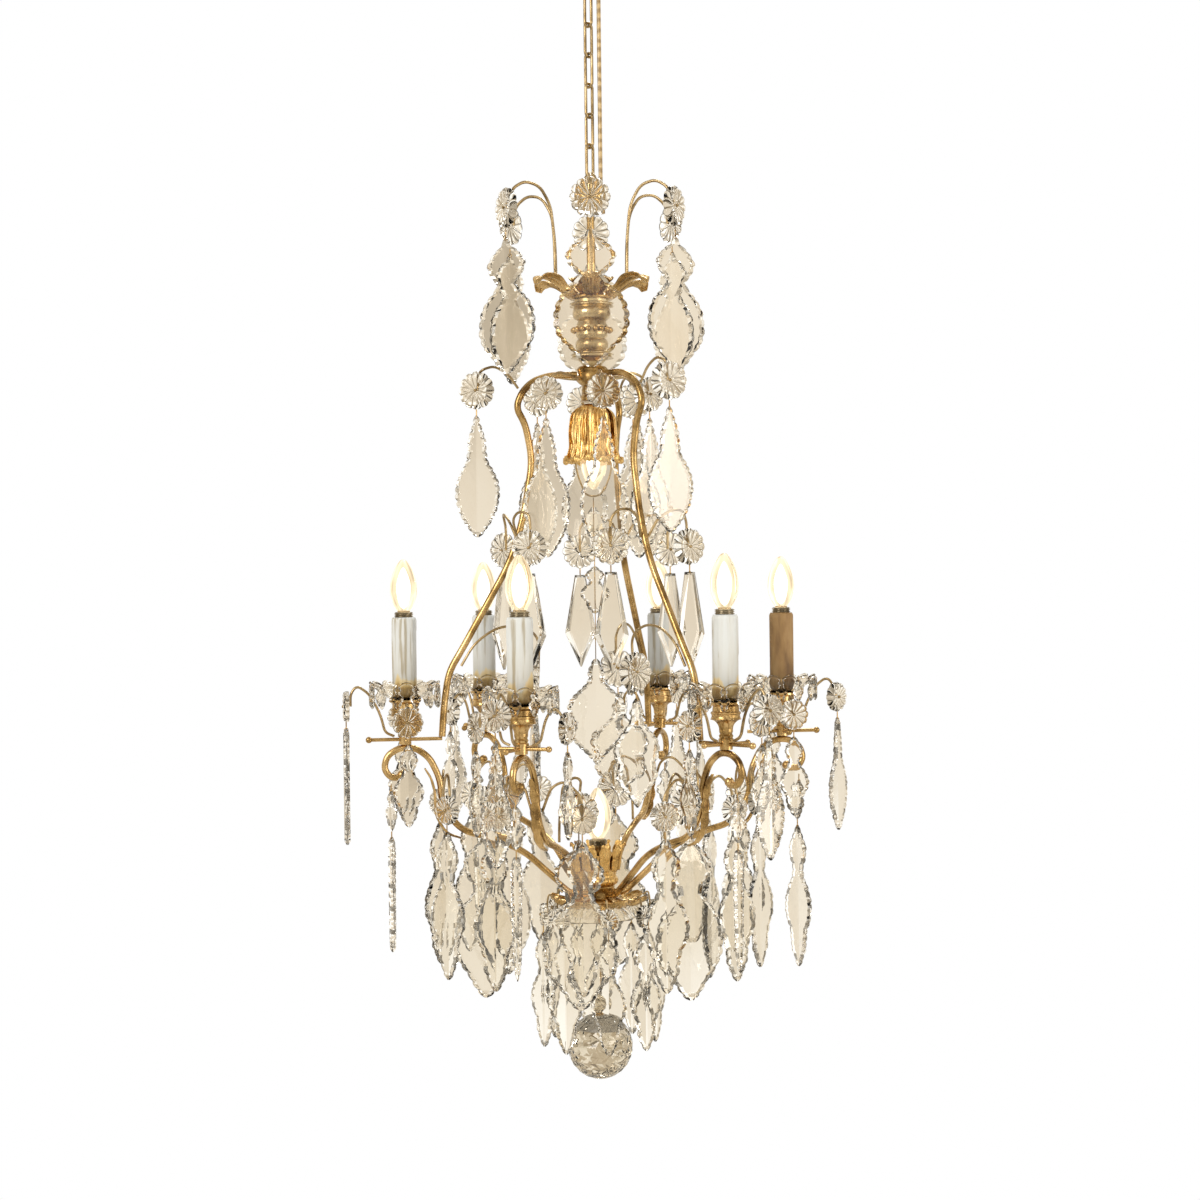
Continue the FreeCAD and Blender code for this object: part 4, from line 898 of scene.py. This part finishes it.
def make_sheaths():
    """Leaf sheaths over the knuckle of each arm."""
    builder = Builder()
    for place in places("arm_sheaths"):
        z = place.top_z
        spine = [(r * MM, z + h * MM) for r, h in
                 ((181, -95), (197, -88), (209, -72), (213, -54), (214, -34), (219, -16),
                  (227, -3))]
        leaf = acanthus(spine, in_mm(6, 10, 13, 14, 13, 11, 5), 1.5 * MM, 6, 0.3, 0.08)
        builder.add(leaf, Matrix.Rotation(place.azimuth, 4, "Z"))
    builder.make("sheath_leaves", "arm_sheaths", [BRASS])


# ---- candles

# A pan: its lobes, where the bowl ends and they begin, and how far past that they reach.
PAN_LOBES = 12
BOWL_RADIUS = 0.033
BOWL_HEIGHT = 0.01
LOBE_REACH = 0.013


def pan():
    """A moulded glass pan: a shallow bowl, and lobes that stand up and curl outward."""
    bowl = smooth_line(scaled(((4.6, 0), (14, 0), (22, 2.2), (29, 6.5), (33, 10))), 3)
    lobe = smooth_line(scaled(((33, 10), (38, 14.5), (41, 19), (43.5, 22), (46, 21.6))), 4)[1:]
    wall = 2.4 * MM
    columns = PAN_LOBES * 10
    verts = []
    for lift, line in ((0.0, bowl + lobe), (wall, list(reversed(bowl + lobe)))):
        for r, h in line:
            past = max(0.0, (r - BOWL_RADIUS) / LOBE_REACH)
            for k in range(columns):
                angle = 2 * math.pi * k / columns
                stand = abs(math.cos(PAN_LOBES * angle / 2)) ** 0.8
                share = 1 - 0.62 * min(1.0, past) * (1 - stand)
                reach = BOWL_RADIUS + (r - BOWL_RADIUS) * share if past else r
                z = BOWL_HEIGHT + (h - BOWL_HEIGHT) * share if past else h
                groove = 0.0 if lift else 0.8 * MM * min(1.0, r / BOWL_RADIUS) * (1 - stand)
                verts.append((reach * math.cos(angle), reach * math.sin(angle), z + lift + groove))
    return verts, grid_faces(2 * len(bowl + lobe), columns, wrap_rows=True)


def make_pans():
    builder = Builder()
    for place in places("drip_pans"):
        builder.add(pan(), at(Vector((place.middle.x, place.middle.y, place.low_z)), place.azimuth))
    builder.make("pans_moulded", "drip_pans", [PAN_GLASS])


def make_pan_beads():
    builder = Builder()
    for place in places("pan_beads"):
        bead = drop(LEAF, place.height, place.width, 6 * MM, 0.5 * MM, 5 * MM, 4 * MM, 0.5)
        add_drop(builder, bead, place.top, place.facing)
    builder.make("beads_moulded", "pan_beads", [PAN_GLASS, BRASS, PAINTED_SHADE_GLASS])


def make_glass_dish():
    """The turned-over flower dish under the hub."""
    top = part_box("glass_dish")[1].z
    outer = ((10.9, 0), (20, -0.2), (31, -4), (40, -10), (47, -17), (50, -21))
    inner = ((46.5, -21), (43.5, -17), (37, -12), (29, -7), (19, -3.4), (10.9, -3))
    wall = smooth_line(scaled(outer), 3) + smooth_line(scaled(inner), 3)
    builder = Builder()
    builder.add(lathe([(r, top + h) for r, h in wall], 96, closed=True, flute=0.07, flutes=12))
    builder.make("dish_flower", "glass_dish", [PAN_GLASS])


SLEEVE_HEIGHT = 0.104
DRIPS = 9
WAVES = 6


def sleeve(seed, painted):
    """A card tube with a soft shoulder; paint has run and gathered in drips near its top."""
    rng = np.random.default_rng(seed)
    phases = rng.uniform(0, 2 * math.pi, WAVES)
    lengths = rng.uniform(12, 60, DRIPS) * MM
    swell = 1.3 * MM if painted else 0.3 * MM
    height = SLEEVE_HEIGHT
    segments = 72
    rows = 34
    verts = []
    for i in range(rows):
        h = height * i / (rows - 1)
        for k in range(segments):
            angle = 2 * math.pi * k / segments
            run = lengths[int(DRIPS * k / segments)]
            drip = max(0.0, math.sin(DRIPS * angle)) ** 3 * (1.0 if height - h < run else 0.2)
            wave = sum(math.sin((n + 2) * angle + phases[n] + 30 * h) for n in range(WAVES)) / WAVES
            r = 15.9 * MM + swell * (0.45 * drip + 0.35 * wave)
            if height - h < 2 * MM:
                r -= (1 - math.sqrt(max(0.0, (height - h) / (2 * MM)))) * 1.6 * MM
            verts.append((r * math.cos(angle), r * math.sin(angle), h))
    for r, h in ((11.7 * MM, height), (11.7 * MM, height - 2 * MM), (14 * MM, height - 5 * MM),
                 (14.6 * MM, 0.0)):
        for k in range(segments):
            angle = 2 * math.pi * k / segments
            verts.append((r * math.cos(angle), r * math.sin(angle), h))
    return verts, grid_faces(rows + 4, segments, wrap_rows=True)


def make_sleeves():
    """Five painted sleeves, and the bare one on the arm that points to the right."""
    builder = Builder()
    for k, place in enumerate(places("candle_sleeves")):
        bare = abs(place.azimuth) < math.radians(30)
        foot = Vector((place.middle.x, place.middle.y, place.low_z))
        builder.add(sleeve(40 + k, not bare), at(foot, place.azimuth), 1 if bare else 0)
    builder.make("sleeves_painted", "candle_sleeves", [PAINT, CARD])


def holder(length):
    """A lamp holder up to its ribbed collar, which is at the origin: foot, cup and bore."""
    foot = [(0.3, -length), (4, -length), (4, -33), (11, -29.5), (11, -7.6), (11, -6.8)]
    ribs = [(11.0 + 1.4 * (k % 4 in (1, 2)), -6.6 + 0.55 * k) for k in range(12)]
    bore = [(10.6, 0), (7.6, 0), (7.6, -24.5), (0.3, -24.5)]
    return lathe(scaled(foot + ribs + bore), 40, closed=True)


def make_holders():
    """Every lamp holder, the downlight's turned over."""
    for name, node in (("collars_candle", "lamp_holders"), ("collars_fixed", "fixed_lamp_holders")):
        builder = Builder()
        for place in places(node):
            matrix = Matrix.Translation((place.middle.x, place.middle.y, place.top_z))
            if place.middle.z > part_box("acanthus_bell")[0].z:
                matrix = Matrix.Translation((0, 0, place.low_z)) @ Matrix.Rotation(math.pi, 4, "X")
            builder.add(holder(place.height / MM), matrix)
        builder.make(name, node, [HOLDER_METAL])


def make_bulb(node):
    """A lit candle bulb: brass screw cap, clear flame-shaped glass, glowing heart inside."""
    low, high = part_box(node)
    down = node == "downlight_bulb"
    middle = (low + high) / 2
    cap_end = high.z if down else low.z
    frame_matrix = Matrix.Translation((middle.x, middle.y, cap_end))
    if down:
        frame_matrix = frame_matrix @ Matrix.Rotation(math.pi, 4, "X")
    builder = Builder()
    glass = smooth_line(scaled(((7.6, 23), (9.4, 27), (14, 35), (17, 45), (17.4, 54),
                                (16.2, 65), (12.4, 77), (7.4, 86), (3.6, 90.6), (0.3, 91.8))), 4)
    builder.add(lathe(glass, 40), frame_matrix, 0)
    heart = smooth_line(scaled(((0.6, 28), (4.2, 32), (6.8, 40), (8.2, 50), (8, 60), (5.6, 70),
                                (2.6, 78), (0.4, 81))), 4)
    builder.add(lathe(heart, 24), frame_matrix, 1)
    thread = [(4 * MM, 0.3 * MM), (6.3 * MM, 3.5 * MM)]
    thread += [((6.45 + 0.4 * math.sin(k * math.pi / 2)) * MM, (4 + 0.7 * k) * MM)
               for k in range(24)]
    thread += [(6.9 * MM, 21.5 * MM), (7.9 * MM, 24.2 * MM), (7.9 * MM, 25.4 * MM)]
    builder.add(lathe(thread, 32), frame_matrix, 2)
    builder.make(f"flame_{node}", node, [BULB_GLASS, GLOW, DARK_BRASS], node)


# ---- cord, brass nodes, stage


def make_cord():
    """The flexible cord beside the chain, held straight between the canopy and the gland."""
    low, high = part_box("power_cord")
    x = (low.x + high.x) / 2
    length = high.z - low.z
    radius = (high.x - low.x) / 2
    curve = bpy.data.curves.new("cord_line", "CURVE")
    curve.dimensions = "3D"
    curve.bevel_depth = radius
    curve.bevel_resolution = 4
    curve.use_fill_caps = True
    spline = curve.splines.new("NURBS")
    stops = (0.0, 0.2, 0.5, 0.8, 1.0)
    spline.points.add(len(stops) - 1)
    for point, share in zip(spline.points, stops):
        point.co = (x, 0, high.z - share * length, 1)
    spline.order_u = 3
    spline.use_endpoint_u = True
    curve.materials.append(CORD)
    piece = add_object("cord_flex", curve)
    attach(piece, "chain")
    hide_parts("power_cord")


# The look of each material slot, for the CAD solids that stay in view.
BY_SLOT = {"gilt_brass": BRASS, "zinc_steel": STEEL, "holder_brass": HOLDER_METAL,
           "crystal": CRYSTAL, "pan_glass": PAN_GLASS, "bulb_glass": BULB_GLASS,
           "sleeve_paint": PAINT, "cord_jacket": CORD}

# Wires and chain, whose brass is darker.
WORN = ("canopy_loop", "chain_link_top", "chain_links", "top_eye", "crown_wires", "rib_wires",
        "arm_hook_wires", "skirt_wires")


def dress_cad_nodes():
    """Gives every CAD node its material; wires and chain are darker, the stem is paler."""
    finish = {name: DARK_BRASS for name in WORN}
    finish["stem_baluster"] = PALE_BRASS
    for entry in frame["record"]["subparts"]:
        name = entry["node"]
        node = frame["nodes"][name]
        node.data.materials.clear()
        node.data.materials.append(finish.get(name, BY_SLOT[entry["material_slot"]]))
        for polygon in node.data.polygons:
            polygon.material_index = 0


def add_area_light(name, place, aim, size, power, colour):
    data = bpy.data.lights.new(name, "AREA")
    data.shape = "RECTANGLE"
    data.size, data.size_y = size
    data.energy = power
    data.color = colour
    light = add_object(name, data)
    light.location = place
    light.rotation_euler = (Vector(aim) - Vector(place)).to_track_quat("-Z", "Y").to_euler()


FLOOR_HALF = 2.4

# The room round the object, over its clouds: the calm walls, and the busy ceiling and floor.
CALM = ((0.3, (0.7, 0.6, 0.46)), (0.42, (0.86, 0.76, 0.61)), (0.55, (0.94, 0.86, 0.72)),
        (0.66, (1.02, 0.96, 0.85)))
BUSY = ((0.3, (0.13, 0.11, 0.08)), (0.41, (0.3, 0.25, 0.18)), (0.47, (0.72, 0.62, 0.48)),
        (0.55, (0.86, 0.78, 0.65)), (0.61, (1.2, 1.19, 1.15)), (0.7, (1.7, 1.7, 1.7)))


# How much of the busy room a glossy ray sees, where a level one would see only the calm walls.
GLOSSY_SHARE = 0.65


def make_world():
    """White behind the object. Round it: warm walls, lamps and dark corners above and below."""
    world = bpy.data.worlds.new("studio")
    bpy.context.scene.world = world
    world.use_nodes = True
    nodes, links = world.node_tree.nodes, world.node_tree.links
    nodes.clear()
    direction = nodes.new("ShaderNodeTexCoord")
    cloud = nodes.new("ShaderNodeTexNoise")
    set_inputs(cloud, Scale=3.4, Detail=1.5)
    links.new(direction.outputs["Generated"], cloud.inputs["Vector"])
    split = nodes.new("ShaderNodeSeparateXYZ")
    links.new(direction.outputs["Generated"], split.inputs["Vector"])
    away = math_node(nodes, links, "ABSOLUTE", split.outputs["Z"])
    steep = mapped(nodes, links, away.outputs["Value"], 0.4, 0.8, 0.0, 1.0)
    path = nodes.new("ShaderNodeLightPath")
    mirrored = math_node(nodes, links, "MULTIPLY", path.outputs["Is Glossy Ray"])
    mirrored.inputs[1].default_value = GLOSSY_SHARE
    busy = math_node(nodes, links, "MAXIMUM", steep)
    links.new(mirrored.outputs["Value"], busy.inputs[1])
    room = nodes.new("ShaderNodeMix")
    room.data_type = "RGBA"
    links.new(busy.outputs["Value"], room.inputs["Factor"])
    links.new(ramp(nodes, links, cloud.outputs["Fac"], CALM), room.inputs[6])
    links.new(ramp(nodes, links, cloud.outputs["Fac"], BUSY), room.inputs[7])
    surround = nodes.new("ShaderNodeBackground")
    links.new(room.outputs[2], surround.inputs["Color"])
    dim_below = mapped(nodes, links, split.outputs["Z"], -0.72, -0.3, 0.42, 1.0)
    links.new(dim_below, surround.inputs["Strength"])
    plain = nodes.new("ShaderNodeBackground")
    plain.inputs["Color"].default_value = (1, 1, 1, 1)
    mix = nodes.new("ShaderNodeMixShader")
    output = nodes.new("ShaderNodeOutputWorld")
    links.new(path.outputs["Is Camera Ray"], mix.inputs[0])
    links.new(surround.outputs[0], mix.inputs[1])
    links.new(plain.outputs[0], mix.inputs[2])
    links.new(mix.outputs[0], output.inputs["Surface"])


def make_stage():
    """A square floor a metre under the chandelier, and three soft lights."""
    z = cad_box[0].z - 1.0
    side = FLOOR_HALF
    mesh = bpy.data.meshes.new("floor")
    mesh.from_pydata([(-side, -side, z), (side, -side, z), (side, side, z), (-side, side, z)],
                     [], [(0, 1, 2, 3)])
    mesh.materials.append(floor_material())
    add_object("floor", mesh)
    add_area_light("key", (-1.9, -2.2, 0.3), (0, 0, -0.9), (1.4, 1.4), 46, (1.0, 0.97, 0.92))
    add_area_light("fill", (2.3, -1.6, -0.7), (0, 0, -1.0), (1.0, 1.8), 22, (1.0, 0.95, 0.88))
    add_area_light("back", (0.5, 1.7, 1.3), (0, 0, -1.0), (1.0, 0.6), 30, (0.95, 0.98, 1.0))


def keep_sizes():
    bpy.context.view_layer.update()


def main():
    scene = bpy.context.scene
    scene.view_settings.view_transform = "Standard"
    scene.cycles.max_bounces = 32
    scene.cycles.transmission_bounces = 32
    scene.cycles.caustics_refractive = False
    scene.cycles.caustics_reflective = False
    scene.cycles.blur_glossy = 0.5
    make_camera()
    make_cord()
    dress_cad_nodes()
    make_crystals()
    make_crown_drops()
    make_centre_string()
    make_ball()
    make_leaf_crown()
    make_bell()
    make_gallery()
    make_bottom_hub()
    make_sheaths()
    make_pans()
    make_pan_beads()
    make_glass_dish()
    make_sleeves()
    make_holders()
    for node in sorted(n for n in frame["nodes"] if "bulb" in n):
        make_bulb(node)
    make_world()
    make_stage()
    keep_sizes()


main()
